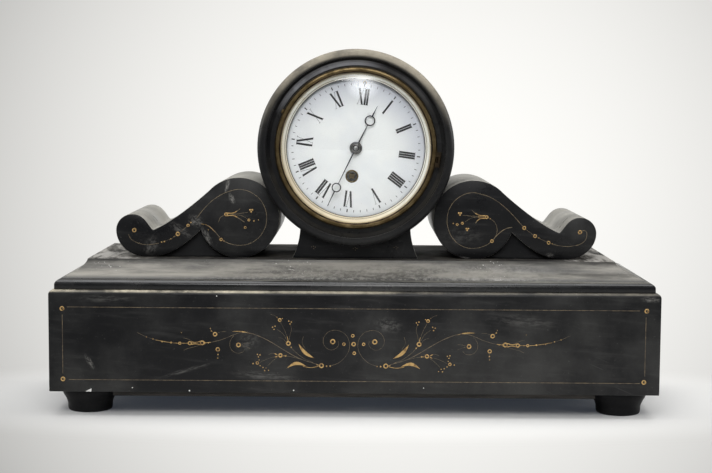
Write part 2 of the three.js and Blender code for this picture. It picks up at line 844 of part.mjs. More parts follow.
// The dark block that fills the arch under a scroll, a little back from its face.
function scrollWeb(side) {
  const centre = { x: side * volute_x, z: volute_z };
  const clear = volute_radius + stone_gap;
  const steps = small_sides;
  const arcTop = volute_z + volute_radius * Math.sin(volute_meets_at) - web_foot;
  const points = [];
  const low = onCircle(clear, mirrored(web_starts_at, side), centre);
  points.push(new THREE.Vector2(low.x, flat_top));
  for (let i = 0; i <= steps; i += 1) {
    const angle = web_starts_at + ((volute_meets_at - web_starts_at) * i) / steps;
    const { x, z } = onCircle(clear, mirrored(angle, side), centre);
    if (z < arcTop) points.push(new THREE.Vector2(x, z));
  }
  const meets = onCircle(volute_radius, mirrored(volute_meets_at, side), centre);
  const [first, second] = underside_shares.map((share) => scrollPoint(share, side));
  const bottom = scrollPoint(lobe_shares[2], side);
  const underside = new THREE.CubicBezierCurve(
    new THREE.Vector2(meets.x, meets.z),
    new THREE.Vector2(...second),
    new THREE.Vector2(...first),
    new THREE.Vector2(...bottom),
  );
  const lowered = underside.getPoints(steps).map((p) => new THREE.Vector2(p.x, p.y - 2 * stone_gap));
  const used = lowered.filter((p) => p.y > flat_top + web_foot && p.y < meets.z - web_foot);
  points.push(...used);
  points.push(new THREE.Vector2(used[used.length - 1].x, flat_top));
  return plate(new THREE.Shape(points), drum_front + web_recess, scroll_back - web_recess);
}

function scrolls() {
  for (const [name, side] of [["left", -1], ["right", 1]]) {
    place(clock, `${name}_scroll`, scroll(side), slate);
    place(clock, `${name}_scroll_web`, scrollWeb(side), slate);
  }
}

function drumCradle() {
  const saddle = drum_radius + stone_gap;
  const waist = cradle_half_width - cradle_waist;
  const drop = Math.sqrt(saddle ** 2 - waist ** 2);
  const horn = Math.atan2(-drop, waist);
  const shape = new THREE.Shape();
  const middle = (flat_top + drum_axis_height - drop) / 2;
  shape.moveTo(-cradle_half_width, flat_top);
  shape.lineTo(cradle_half_width, flat_top);
  shape.quadraticCurveTo(waist, middle, waist, drum_axis_height - drop);
  shape.absarc(0, drum_axis_height, saddle, horn, -Math.PI - horn, true);
  shape.quadraticCurveTo(-waist, middle, -cradle_half_width, flat_top);
  const block = plate(shape, drum_front, drum_back, small_sides);
  place(clock, "drum_cradle", cut(block, pendulumShaft(flat_top, drum_axis_height)), slate);
}

function drum() {
  const shell = turned(
    [
      [drum_bore_radius, drum_front],
      [drum_radius, drum_front],
      [drum_radius, drum_back],
      [drum_bore_radius, drum_back],
    ],
    drum_sides,
  ).translate(0, 0, drum_axis_height);
  const shaft = pendulumShaft(drum_axis_height - drum_radius, drum_axis_height - drum_bore_radius + overrun);
  place(clock, "drum_shell", cut(shell, shaft), slate);
  const outerRound = Array.from({ length: ring_round_sides + 1 }, (_, i) => {
    const angle = (Math.PI / 2) * (i / ring_round_sides);
    return [
      ring_radius - ring_round + ring_round * Math.sin(angle),
      ring_front + ring_round - ring_round * Math.cos(angle),
    ];
  });
  const ring = turned(
    [
      [ring_opening_radius, drum_front],
      [ring_opening_radius, ring_face],
      [ring_flat_radius, ring_face],
      [ring_step_radius - bezel_clearance, ring_face - ring_slope],
      [ring_step_radius, ring_face - ring_slope],
      [ring_step_radius, ring_front],
      ...outerRound,
      [ring_radius, drum_front],
    ],
    large_sides,
  ).translate(0, 0, drum_axis_height);
  place(clock, "drum_front_ring", ring, slate);
}

// Fixed brass ring that lines the opening, with the middle knuckle of the bezel's hinge.
function bezelFrame() {
  const lipFront = frame_end - frame_wall;
  const ring = turned(
    [
      [frame_radius, frame_front],
      [frame_radius, frame_back],
      [frame_bore_radius + frame_wall, frame_back],
      [frame_bore_radius + frame_wall, frame_end],
      [frame_bore_radius - frame_lip, frame_end],
      [frame_bore_radius - frame_lip, lipFront],
      [frame_bore_radius, lipFront],
      [frame_bore_radius, frame_front],
    ],
    large_sides,
  );
  const half = knuckle_split - knuckle_clearance / 2;
  const inside = hinge_x - knuckle_radius + knuckle_clearance / 2;
  const outside = hinge_x + knuckle_radius;
  const leaf = box(frame_radius - hinge_leaf_lap, outside, frame_front, frame_back, -half, half);
  const post = box(inside, outside, hinge_y, frame_back, -half, half);
  const knuckle = hingeBarrel(-half, half);
  place(movement, "bezel_frame", cut(joined(ring, leaf, post, knuckle), hingeDrill()), brass);
  const pin = hingeRod(hinge_pin_radius, -knuckle_half_length, knuckle_half_length);
  place(movement, "bezel_hinge_pin", pin, brass);
}

function hingeRod(radius, low, high) {
  const rod = new THREE.CylinderGeometry(radius, radius, high - low, small_sides).rotateX(Math.PI / 2);
  return rod.translate(hinge_x, hinge_y, (low + high) / 2);
}

function hingeBarrel(low, high) {
  return hingeRod(knuckle_radius, low, high);
}

function hingeDrill() {
  const reach = knuckle_half_length + overrun;
  return hingeRod((hinge_pin_radius + pin_clearance) / Math.cos(Math.PI / small_sides), -reach, reach);
}

// Hinged brass rim that holds the glass, with a small tab for the thumb.
function bezel() {
  const seat = glass_radius + bezel_clearance;
  const crown = (bezel_radius + bezel_bore_radius) / 2;
  const rim = turned(
    [
      [seat, bezel_back],
      [bezel_radius, bezel_back],
      [bezel_radius, bezel_back - bezel_depth / 2],
      [(bezel_radius + crown) / 2, bezel_front + bezel_depth * bezel_shoulder_share],
      [crown, bezel_front],
      [(bezel_bore_radius + crown) / 2, bezel_front + bezel_depth * bezel_inner_shoulder_share],
      [bezel_bore_radius, bezel_front + bezel_depth * bezel_inner_drop_share],
      [bezel_bore_radius, bezel_front + bezel_lip],
      [seat, bezel_front + bezel_lip],
    ],
    large_sides,
  );
  const inner = knuckle_split + knuckle_clearance / 2;
  const arms = [-1, 1].flatMap((end) => {
    const [low, high] = end < 0 ? [-knuckle_half_length, -inner] : [inner, knuckle_half_length];
    const reach = box(bezel_radius - hinge_leaf_lap, hinge_x, hinge_y - knuckle_radius, hinge_y, low, high);
    return [reach, hingeBarrel(low, high)];
  });
  const tab = box(
    bezel_radius - thumb_tab_reach,
    bezel_radius + thumb_tab_reach,
    bezel_back - thumb_tab_thickness,
    bezel_back,
    -thumb_tab_width / 2,
    thumb_tab_width / 2,
  ).rotateY(-thumb_tab_angle);
  place(movement, "bezel", cut(joined(rim, tab, ...arms), hingeDrill()), brass);
}

function bezelGlass() {
  const front = bezel_front + bezel_lip + bezel_clearance / 2;
  const domeEdge = glass_radius - glass_flat;
  const sphere = (domeEdge ** 2 + glass_rise ** 2) / (2 * glass_rise);
  const dome = Array.from({ length: glass_dome_sides + 1 }, (_, i) => {
    const radius = (domeEdge * i) / glass_dome_sides;
    return [radius, front - glass_rise + sphere - Math.sqrt(sphere ** 2 - radius ** 2)];
  });
  const inner = dome.map(([r, y]) => [r, y + glass_thickness]);
  const edge = [[glass_radius, front], [glass_radius, front + glass_thickness]];
  place(movement, "bezel_glass", turned([...dome, ...edge, ...inner.reverse()], large_sides), pane);
}

// Bright sloping ring between the glass and the dial.
function sightRing() {
  const top = bezel_front + bezel_lip + glass_thickness + bezel_clearance;
  const foot = bezel_back + sight_slope_depth;
  const outer = bezel_bore_radius - sight_metal;
  const ring = turned(
    [
      [glass_radius, top],
      [outer, top],
      [sight_bore_radius, foot],
      [sight_bore_radius + sight_metal, foot + sight_metal / 2],
      [outer + sight_metal, top + sight_metal],
      [glass_radius, top + sight_metal],
    ],
    large_sides,
  );
  place(movement, "sight_ring", ring, gilt);
}

function dial() {
  const face = new THREE.Shape(circlePath(dial_radius, large_sides).getPoints());
  face.holes.push(
    circlePath(dial_centre_hole, small_sides),
    circlePath(winding_hole_radius, middle_sides, 0, -winding_drop),
    circlePath(regulator_hole_radius, small_sides, 0, regulator_rise),
  );
  place(movement, "enamel_dial", plate(face, dial_front, dial_back), enamel);
  const back = new THREE.Shape(circlePath(dial_plate_radius, large_sides).getPoints());
  back.holes.push(
    circlePath(dial_centre_hole, small_sides),
    circlePath(winding_hole_radius, middle_sides, 0, -winding_drop),
    circlePath(regulator_hole_radius, small_sides, 0, regulator_rise),
  );
  const footTop = dial_back + dial_plate_thickness / 2;
  const feetBars = Array.from({ length: dial_foot_count }, (_, i) => {
    const { x, z } = onCircle(dial_foot_circle, first_dial_foot_angle + (2 * Math.PI * i) / dial_foot_count);
    return bar(dial_foot_radius, footTop, front_plate_front, small_sides, x, z);
  });
  place(movement, "dial_plate", joined(plate(back, dial_back, dial_plate_back), ...feetBars), brass);
}

// Round brass plates, drilled for every arbor that they carry, with the studs that stand on the front one.
function movementPlates() {
  const pivots = [barrel_at, centre_at, second_at, third_at, escape_at, anchor_at];
  const finePivots = [pivot_radius, pivot_radius, pivot_radius];
  const frontRadii = [winding_arbor_radius, centre_arbor_radius, ...finePivots, pivot_radius];
  const backRadii = [winding_arbor_radius, pivot_radius, ...finePivots, anchor_arbor_radius];
  const drilled = (radii) => {
    const shape = new THREE.Shape(circlePath(plate_radius, plate_sides).getPoints());
    pivots.forEach((at, i) => {
      const sides = radii[i] > pivot_radius ? small_sides : pivot_sides;
      shape.holes.push(clearHole(radii[i] + pivot_clearance, sides, at.x, at.z));
    });
    return shape;
  };
  const middle = (front_plate_front + front_plate_back) / 2;
  const minuteWheelFront = front_plate_front - minute_wheel_stand - motion_wheel_thickness;
  const minuteStudEnd = minuteWheelFront - minute_pinion_length;
  const minuteStud = bar(
    minute_stud_radius,
    minuteStudEnd - stone_gap,
    middle,
    pivot_sides,
    minute_stud_at.x,
    minute_stud_at.z,
  );
  const clickFace = front_plate_front - ratchet_stand - ratchet_thickness - pivot_clearance;
  const clickScrew = [
    bar(click_screw_radius, clickFace, middle, small_sides, click_pivot_at.x, click_pivot_at.z),
    bar(
      click_screw_head_radius,
      clickFace - click_screw_head,
      clickFace,
      small_sides,
      click_pivot_at.x,
      click_pivot_at.z,
    ),
  ];
  const front = plate(drilled(frontRadii), front_plate_front, front_plate_back);
  place(movement, "front_plate", joined(front, minuteStud, ...clickScrew), brass);
  place(movement, "back_plate", plate(drilled(backRadii), back_plate_front, back_plate_back), brass);
  const pillarProfile = [
    [0, front_plate_back],
    [pillar_swell, front_plate_back],
    [pillar_swell, front_plate_back + pillar_collar],
    [pillar_radius, front_plate_back + 2 * pillar_collar],
    [pillar_radius, back_plate_front - 2 * pillar_collar],
    [pillar_swell, back_plate_front - pillar_collar],
    [pillar_swell, back_plate_front],
    [0, back_plate_front],
  ];
  for (let i = 0; i < pillar_count; i += 1) {
    const { x, z } = onCircle(pillar_circle, ((2 * i + 1) * Math.PI) / pillar_count);
    const pillar = place(movement, `plate_pillar_${i + 1}`, turned(pillarProfile, pivot_sides), brass);
    pillar.position.set(x, 0, z);
  }
}

function mainspringBarrel() {
  const front = front_plate_back + barrel_depth;
  const back = front + barrel_length;
  const inner = barrel_radius - barrel_wall;
  const bore = (winding_arbor_radius + winding_clearance) / Math.cos(Math.PI / small_sides);
  const drumPart = turned(
    [
      [inner, front],
      [barrel_radius, front],
      [barrel_radius, back],
      [bore, back],
      [bore, back - barrel_wall],
      [inner, back - barrel_wall],
    ],
    barrel_sides,
  ).translate(barrel_at.x, 0, barrel_at.z);
  const toothAt = direction(barrel_at, second_at);
  const pitchRadius = (barrel_teeth * barrel_module) / 2;
  const teeth = new THREE.Shape(
    toothPoints(
      barrel_at,
      barrel_teeth,
      pitchRadius,
      barrel_module * wheel_addendum_share,
      barrel_module * wheel_dedendum_share,
      wheel_root_share,
      0,
      toothAt,
    ),
  );
  teeth.holes.push(circlePath(barrel_radius - barrel_wall / 2, barrel_sides, barrel_at.x, barrel_at.z));
  const flange = plate(teeth, back - barrel_flange, back);
  place(movement, "mainspring_barrel", joined(drumPart, flange), brass);
  const capRadius = inner - stone_gap;
  const cap = turned(
    [
      [bore, front],
      [capRadius, front],
      [capRadius, front + barrel_cap_thickness],
      [bore, front + barrel_cap_thickness],
    ],
    middle_sides,
  );
  place(movement, "barrel_cap", cap.translate(barrel_at.x, 0, barrel_at.z), brass);
  const springFront = front + (barrel_length - spring_height) / 2;
  place(movement, "mainspring", mainspring(springFront, springFront + spring_height), blued);
}

// A flat spiral of ribbon, from the barrel's core out to its wall.
function mainspring(front, back) {
  const steps = Math.round(spring_turns * spring_turn_sides);
  const edge = (offset) =>
    Array.from({ length: steps + 1 }, (_, i) => {
      const radius = spring_inner_radius + ((spring_outer_radius - spring_inner_radius) * i) / steps + offset;
      const { x, z } = onCircle(radius, (2 * Math.PI * spring_turns * i) / steps, barrel_at);
      return new THREE.Vector2(x, z);
    });
  const outline = [...edge(-spring_thickness / 2), ...edge(spring_thickness / 2).reverse()];
  return plate(new THREE.Shape(outline), front, back);
}

function windingWork() {
  const squareEnd = dial_front + winding_end_below_dial;
  const squareBack = squareEnd + winding_square_length;
  const rearEnd = back_plate_back;
  const coreFront = front_plate_back + barrel_depth + barrel_cap_thickness + barrel_wall;
  const coreBack = front_plate_back + barrel_depth + barrel_length - 2 * barrel_wall;
  const shank = bar(winding_arbor_radius, squareBack, rearEnd, small_sides, barrel_at.x, barrel_at.z);
  const core = bar(winding_core_radius, coreFront, coreBack, small_sides, barrel_at.x, barrel_at.z);
  const half = winding_square / 2;
  const square = box(-half, half, squareEnd, squareBack + winding_square / 4, -half, half);
  square.translate(barrel_at.x, 0, barrel_at.z);
  place(movement, "winding_arbor", joined(shank, core, square), steel);
  const ratchetBack = front_plate_front - ratchet_stand;
  const ratchetFront = ratchetBack - ratchet_thickness;
  const points = [];
  for (let i = 0; i < ratchet_teeth; i += 1) {
    const angle = click_pivot_angle + (2 * Math.PI * i) / ratchet_teeth;
    const tip = onCircle(ratchet_radius, angle, barrel_at);
    const root = onCircle(ratchet_radius - ratchet_tooth_depth, angle, barrel_at);
    points.push(new THREE.Vector2(tip.x, tip.z), new THREE.Vector2(root.x, root.z));
  }
  const shape = new THREE.Shape(points);
  const eye = winding_arbor_radius + winding_clearance;
  shape.holes.push(clearHole(eye, small_sides, barrel_at.x, barrel_at.z));
  place(movement, "ratchet_wheel", plate(shape, ratchetFront, ratchetBack), steel);
}

// Click and its blade spring, screwed to the front plate beside the ratchet wheel.
function clickWork() {
  const back = front_plate_front - ratchet_stand;
  const front = back - ratchet_thickness;
  const toothAngle = click_pivot_angle - (2 * Math.PI * click_reach_teeth) / ratchet_teeth;
  const noseRadius = ratchet_radius - ratchet_tooth_depth + click_nose_gap;
  const nose = onCircle(noseRadius, toothAngle + click_nose_lead, barrel_at);
  const along = direction(click_pivot_at, nose);
  const length = Math.hypot(nose.x - click_pivot_at.x, nose.z - click_pivot_at.z);
  const half = click_width / 2;
  const shape = new THREE.Shape();
  shape.moveTo(0, -half);
  shape.lineTo(length, 0);
  shape.lineTo(length - half, half);
  shape.lineTo(0, half);
  const arm = plate(shape, front, back).rotateY(-along).translate(click_pivot_at.x, 0, click_pivot_at.z);
  const pivotAt = [click_pivot_at.x, click_pivot_at.z];
  const hub = bar(click_hub_radius, front, back, small_sides, ...pivotAt);
  const hole = drill(click_screw_radius + pivot_clearance, front, back, small_sides, ...pivotAt);
  place(movement, "click", cut(joined(arm, hub), hole), steel);

  const beside = onCircle(click_hub_radius + half, along, click_pivot_at);
  const tip = onCircle(half + click_spring_gap, along + Math.PI / 2, beside);
  const foot = onCircle(click_spring_length, along + Math.PI / 2, tip);
  const blade = box(0, click_spring_length, front, back, -click_spring_width / 2, click_spring_width / 2);
  blade.rotateY(-direction(tip, foot)).translate(tip.x, 0, tip.z);
  const springFoot = bar(click_spring_foot_radius, front, front_plate_front, small_sides, foot.x, foot.z);
  place(movement, "click_spring", joined(blade, springFoot), blued);
}

// One wheel with its pinion and arbor, their depths measured from the front plate's inner face.
function mobile(name, at, arborRadius, wheelPart, pinionPart) {
  place(movement, name, joined(arbor(at, arborRadius), wheelPart, pinionPart), brass);
}

function goingTrain() {
  const level = (depth) => front_plate_back + depth;
  const span = (depth, length) => [level(depth), level(depth) + length];
  mobile(
    "second_wheel",
    second_at,
    arbor_radius,
    wheel(
      second_at,
      second_teeth,
      second_module,
      ...span(second_wheel_depth, wheel_thickness),
      direction(second_at, centre_at),
      wheel_arms,
      wheel_hub,
    ),
    pinion(
      second_at,
      second_pinion_leaves,
      barrel_module,
      ...span(second_pinion_depth, second_pinion_length),
      direction(second_at, barrel_at),
    ),
  );
  const centreWheel = wheel(
    centre_at,
    centre_teeth,
    centre_module,
    ...span(centre_wheel_depth, wheel_thickness),
    direction(centre_at, third_at),
    wheel_arms,
    wheel_hub,
  );
  const centrePinion = pinion(
    centre_at,
    centre_pinion_leaves,
    second_module,
    ...span(centre_pinion_depth, centre_pinion_length),
    direction(centre_at, second_at),
  );
  const centreShaft = turned(
    [
      [0, minute_hand_front - collet_length / 2],
      [centre_arbor_radius, minute_hand_front - collet_length / 2],
      [centre_arbor_radius, back_plate_front - shoulder_clearance],
      [pivot_radius, back_plate_front - shoulder_clearance],
      [pivot_radius, back_plate_back],
      [0, back_plate_back],
    ],
    small_sides,
  );
  place(movement, "centre_wheel", joined(centreShaft, centreWheel, centrePinion), brass);
  mobile(
    "third_wheel",
    third_at,
    fine_arbor_radius,
    wheel(
      third_at,
      third_teeth,
      third_module,
      ...span(third_wheel_depth, thin_wheel_thickness),
      direction(third_at, escape_at),
      wheel_arms,
      wheel_hub,
    ),
    pinion(
      third_at,
      third_pinion_leaves,
      centre_module,
      ...span(third_pinion_depth, third_pinion_length),
      direction(third_at, centre_at),
    ),
  );
  const escapeFront = level(escape_wheel_depth);
  mobile(
    "escape_wheel",
    escape_at,
    fine_arbor_radius,
    escapeWheel(escapeFront, escapeFront + thin_wheel_thickness),
    pinion(
      escape_at,
      escape_pinion_leaves,
      third_module,
      ...span(escape_pinion_depth, escape_pinion_length),
      direction(escape_at, third_at),
    ),
  );
}

// Escape wheel for a recoil anchor: thin teeth that lean forward.
function escapeWheel(front, back) {
  const points = [];
  const pitch = (2 * Math.PI) / escape_teeth;
  for (let i = 0; i < escape_teeth; i += 1) {
    const angle = i * pitch;
    const root = escape_radius - escape_tooth_depth;
    const tooth = [[root, 0], [escape_radius, escape_lean_share], [root, escape_width_share]];
    for (const [radius, offset] of tooth) {
      const { x, z } = onCircle(radius, angle + offset * pitch, escape_at);
      points.push(new THREE.Vector2(x, z));
    }
  }
  const shape = new THREE.Shape(points);
  const rimInner = escape_radius - escape_tooth_depth - wheel_rim / 2;
  for (let i = 0; i < wheel_arms; i += 1) {
    const from = (2 * Math.PI * i) / wheel_arms;
    const to = (2 * Math.PI * (i + 1)) / wheel_arms;
    shape.holes.push(crossing(escape_at, wheel_hub / 2, rimInner, from, to, wheel_arm / 2));
  }
  return plate(shape, front, back);
}

// Cannon pinion, minute wheel and hour wheel, which gear the two hands together behind the dial.
function motionWork() {
  const front = front_plate_front;
  const cannonBore = (centre_arbor_radius + cannon_clearance) / Math.cos(Math.PI / small_sides);
  const pipe = turned(
    [
      [cannonBore, minute_hand_front],
      [cannon_radius, minute_hand_front],
      [cannon_radius, front - cannon_foot],
      [cannonBore, front - cannon_foot],
    ],
    small_sides,
  );
  const leavesBack = front - cannon_pinion_stand;
  const leaves = pinion(
    centre_at,
    cannon_leaves,
    minute_module,
    leavesBack - cannon_pinion_length,
    leavesBack,
    direction(centre_at, minute_stud_at),
  );
  const leavesFront = leavesBack - cannon_pinion_length;
  const bore = drill(centre_arbor_radius + cannon_clearance, leavesFront, leavesBack, small_sides);
  place(movement, "cannon_pinion", joined(pipe, cut(leaves, bore)), steel);
  const minuteBack = front - minute_wheel_stand;
  const minuteFront = minuteBack - motion_wheel_thickness;
  const minuteWheel = wheel(
    minute_stud_at,
    minute_teeth,
    minute_module,
    minuteFront,
    minuteBack,
    direction(minute_stud_at, centre_at),
    wheel_arms,
    wheel_hub,
  );
  const minutePinion = pinion(
    minute_stud_at,
    minute_pinion_leaves,
    hour_module,
    minuteFront - minute_pinion_length,
    minuteFront + motion_wheel_thickness / 2,
    direction(minute_stud_at, centre_at),
  );
  const stud = drill(
    minute_stud_radius + pivot_clearance,
    minuteFront - minute_pinion_length,
    minuteBack,
    pivot_sides,
    minute_stud_at.x,
    minute_stud_at.z,
  );
  place(movement, "minute_wheel", cut(joined(minuteWheel, minutePinion), stud), brass);
  const hourBack = front - hour_wheel_stand;
  const hourWheel = wheel(
    centre_at,
    hour_teeth,
    hour_module,
    hourBack - motion_wheel_thickness,
    hourBack,
    direction(centre_at, minute_stud_at),
    wheel_arms,
    wheel_hub + hour_pipe_wall,
  );
  const hourPipe = bar(hour_pipe_radius, hour_hand_front, hourBack, small_sides);
  const hourBore = drill(cannon_radius + cannon_clearance, hour_hand_front, hourBack, small_sides);
  place(movement, "hour_wheel", cut(joined(hourWheel, hourPipe), hourBore), brass);
}

// An open-ring hand: hub, tapering shank, ring and tip, pointing up from the dial's centre.
function openRingHand(length, ringAt, ringRadius, hubRadius, bore, front, angle) {
  const back = front + hand_thickness;
  const inner = ringRadius - hand_ring_width;
  const shankHalf = hand_shank_width / 2;
  const tipHalf = hand_tip_width / 2;
  const shank = new THREE.Shape();
  shank.moveTo(-shankHalf, 0);
  shank.lineTo(shankHalf, 0);
  shank.lineTo(tipHalf, ringAt - inner - hand_ring_width / 2);
  shank.lineTo(-tipHalf, ringAt - inner - hand_ring_width / 2);
  const tip = new THREE.Shape();
  tip.moveTo(-shankHalf, ringAt + inner + hand_ring_width / 2);
  tip.lineTo(shankHalf, ringAt + inner + hand_ring_width / 2);
  tip.lineTo(tipHalf / 2, length);
  tip.lineTo(-tipHalf / 2, length);
  const ring = new THREE.Shape(circlePath(ringRadius, middle_sides, 0, ringAt).getPoints());
  ring.holes.push(circlePath(inner, middle_sides, 0, ringAt));
  const hub = new THREE.Shape(circlePath(hubRadius, middle_sides).getPoints());
  const whole = joined(...[shank, tip, ring, hub].map((shape) => plate(shape, front, back)));
  return cut(whole, drill(bore, front, back, small_sides)).rotateY(angle);
}

function hands() {
  const hourHand = openRingHand(
    hour_hand_length,
    hour_ring_at,
    hour_ring_radius,
    hour_hub_radius,
    hour_pipe_radius + hand_clearance,
    hour_hand_front,
    hour_hand_angle,
  );
  place(movement, "hour_hand", hourHand, blued);
  const minuteHand = openRingHand(
    minute_hand_length,
    minute_ring_at,
    minute_ring_radius,
    minute_hub_radius,
    cannon_radius + hand_clearance,
    minute_hand_front,
    minute_hand_angle,
  );
  place(movement, "minute_hand", minuteHand, blued);
  const back = minute_hand_front - hand_clearance;
  const collet = turned(
    [
      [0, back - collet_length],
      [collet_radius / 2, back - collet_length],
      [collet_radius, back - collet_length / 2],
      [collet_radius, back],
      [centre_arbor_radius + hand_clearance, back],
      [centre_arbor_radius + hand_clearance, back - collet_length / 2 - hand_clearance],
      [0, back - collet_length / 2 - hand_clearance],
    ],
    middle_sides,
  );
  place(movement, "hand_collet", collet, steel);
}

// Pallets that embrace the top of the escape wheel, on an arbor that reaches back to the cock.
function anchor() {
  const middle = front_plate_back + escape_wheel_depth + thin_wheel_thickness / 2;
  const front = middle - anchor_thickness / 2;
  const back = middle + anchor_thickness / 2;
  const inner = escape_radius + anchor_swing_gap;
  const outer = inner + anchor_band;
  const arc = (radius, i) => {
    const angle = Math.PI / 2 + anchor_half_span * (1 - (2 * i) / anchor_sides);
    const { x, z } = onCircle(radius, angle, escape_at);
    return new THREE.Vector2(x, z);
  };
  const outline = Array.from({ length: anchor_sides + 1 }, (_, i) => arc(inner, i));
  for (let i = anchor_sides; i >= 0; i -= 1) outline.push(arc(outer, i));
  const band = plate(new THREE.Shape(outline), front, back);
  const hub = bar(anchor_hub_radius, front, back, small_sides, anchor_at.x, anchor_at.z);
  const pivotBack = cock_back;
  const shaft = turned(
    [
      [0, front_plate_front],
      [pivot_radius, front_plate_front],
      [pivot_radius, front_plate_back + shoulder_clearance],
      [anchor_arbor_radius, front_plate_back + shoulder_clearance],
      [anchor_arbor_radius, cock_front - shoulder_clearance],
      [pivot_radius, cock_front - shoulder_clearance],
      [pivot_radius, pivotBack],
      [0, pivotBack],
    ],
    small_sides,
  ).translate(anchor_at.x, 0, anchor_at.z);
  place(movement, "anchor", joined(band, hub, shaft), steel);
}

// Bracket behind the back plate that carries the anchor's rear pivot, the pendulum and the regulator.
function suspensionCock() {
  const { z } = anchor_at;
  const bridge = new THREE.Shape();
  const low = z - cock_height / 2;
  const high = z + cock_height / 2;
  const top = z + cock_neck_rise;
  bridge.moveTo(-cock_half_width, low);
  bridge.lineTo(cock_half_width, low);
  bridge.lineTo(cock_half_width, high);
  bridge.lineTo(cock_neck_half_width, high);
  bridge.lineTo(cock_neck_half_width, top);
  bridge.lineTo(-cock_neck_half_width, top);
  bridge.lineTo(-cock_neck_half_width, high);
  bridge.lineTo(-cock_half_width, high);
  const footEnd = cock_front + cock_thickness / 2;
  const cockFeet = [-1, 1].map((side) =>
    bar(cock_foot_radius, back_plate_back, footEnd, small_sides, side * cock_foot_at, z),
  );
  const chops = box(
    -chop_half_width,
    chop_half_width,
    cock_back - cock_thickness / 2,
    cock_back + chop_reach,
    z + stone_gap,
    z + chop_length,
  );
  const slit = box(
    -chop_slit / 2,
    chop_slit / 2,
    pendulum_y - strip_width,
    cock_back + chop_reach + overrun,
    z - overrun,
    z + strip_grip + stone_gap,
  );
  const bracket = joined(plate(bridge, cock_front, cock_back), chops, ...cockFeet);
  const pivotHole = drill(pivot_radius + pivot_clearance, cock_front, cock_back, pivot_sides, 0, z);
  const arborRadius = regulator_arbor_radius + pivot_clearance;
  const arborHole = drill(arborRadius, cock_front, cock_back, pivot_sides, 0, regulator_rise);
  place(movement, "suspension_cock", cut(bracket, slit, pivotHole, arborHole), brass);
}

// Crutch, suspension strip, rod and bob hang plumb from the anchor's axis, whatever the slip of the plates.
function pendulum() {
  const hanging = new THREE.Group();
  const { x, z } = anchor_at;
  hanging.position.x = x * Math.cos(movement_slip) + z * Math.sin(movement_slip);
  hanging.position.z = pendulum_axis_height;
  clock.add(hanging);

  const crutchFront = back_plate_back + crutch_behind_plate;
  const crutchBack = crutchFront + crutch_thickness;
  const half = crutch_width / 2;
  const blade = box(-half, half, crutchFront, crutchBack, -crutch_length, 0);
  const hub = bar(crutch_hub_radius, crutchFront, crutchBack, small_sides);
  const forkBack = pendulum_y + rod_radius + fork_beyond_rod;
  const forkTop = fork_height - crutch_length;
  const fork = box(-fork_width / 2, fork_width / 2, crutchFront, forkBack, -crutch_length, forkTop);
  const slot = box(
    -fork_slot / 2,
    fork_slot / 2,
    pendulum_y - rod_radius - fork_beyond_rod,
    forkBack + overrun,
    -crutch_length - overrun,
    forkTop + overrun,
  );
  const grip = drill(anchor_arbor_radius + crutch_clearance, crutchFront, crutchBack, small_sides);
  place(hanging, "crutch", cut(joined(blade, hub, fork), slot, grip), steel);

  const chopFoot = -strip_drop - rod_head_height / 2;
  const strip = stripBlock(strip_thickness / 2, -strip_drop, strip_grip);
  const chop = stripBlock(rod_head_half_width, chopFoot, -strip_drop);
  place(hanging, "suspension_spring", joined(strip, chop), steel);

  const headTop = chopFoot - stone_gap;
  const head = stripBlock(rod_head_half_width, headTop - rod_head_height, headTop);
  const nutTop = -pendulum_length - bob_radius - stone_gap;
  const shaft = hangingRod(rod_radius, nutTop - 2 * rating_nut_height, headTop);
  const nut = hangingRod(rating_nut_radius, nutTop - rating_nut_height, nutTop);
  place(hanging, "pendulum_rod", joined(head, shaft, nut), steel);

  const bob = turned(
    [
      [0, -bob_half_thickness],
      [bob_radius / 2, -bob_half_thickness * bob_shoulder_share],
      [bob_radius, -bob_edge / 2],
      [bob_radius, bob_edge / 2],
      [bob_radius / 2, bob_half_thickness * bob_shoulder_share],
      [0, bob_half_thickness],
    ],
    middle_sides,
  ).translate(0, pendulum_y, -pendulum_length);
  const holeRadius = (rod_radius + pivot_clearance) / Math.cos(Math.PI / small_sides);
  const reach = bob_radius + overrun;
  const hole = hangingRod(holeRadius, -pendulum_length - reach, reach - pendulum_length);
  place(hanging, "pendulum_bob", cut(bob, hole), brass);
}

// A block as deep as the suspension strip, and a round upright rod, both in the pendulum's plane.
function stripBlock(half, low, high) {
  return box(-half, half, pendulum_y - strip_width / 2, pendulum_y + strip_width / 2, low, high);
}

function hangingRod(radius, low, high) {
  const rod = new THREE.CylinderGeometry(radius, radius, high - low, small_sides);
  return rod.rotateX(Math.PI / 2).translate(0, pendulum_y, (low + high) / 2);
}

// Long arbor from the small hole at twelve to the cock, for turning the regulator with a key.
function regulatorArbor() {
  const end = dial_front + regulator_end_below_dial;
  const shaft = bar(regulator_arbor_radius, end, cock_back + regulator_collar_length, small_sides);
  const collarFront = cock_back + pivot_clearance;
  const collarBack = collarFront + regulator_collar_length;
  const collar = bar(regulator_collar_radius, collarFront, collarBack, small_sides);
  place(movement, "regulator_arbor", joined(shaft, collar).translate(0, 0, regulator_rise), steel);
}

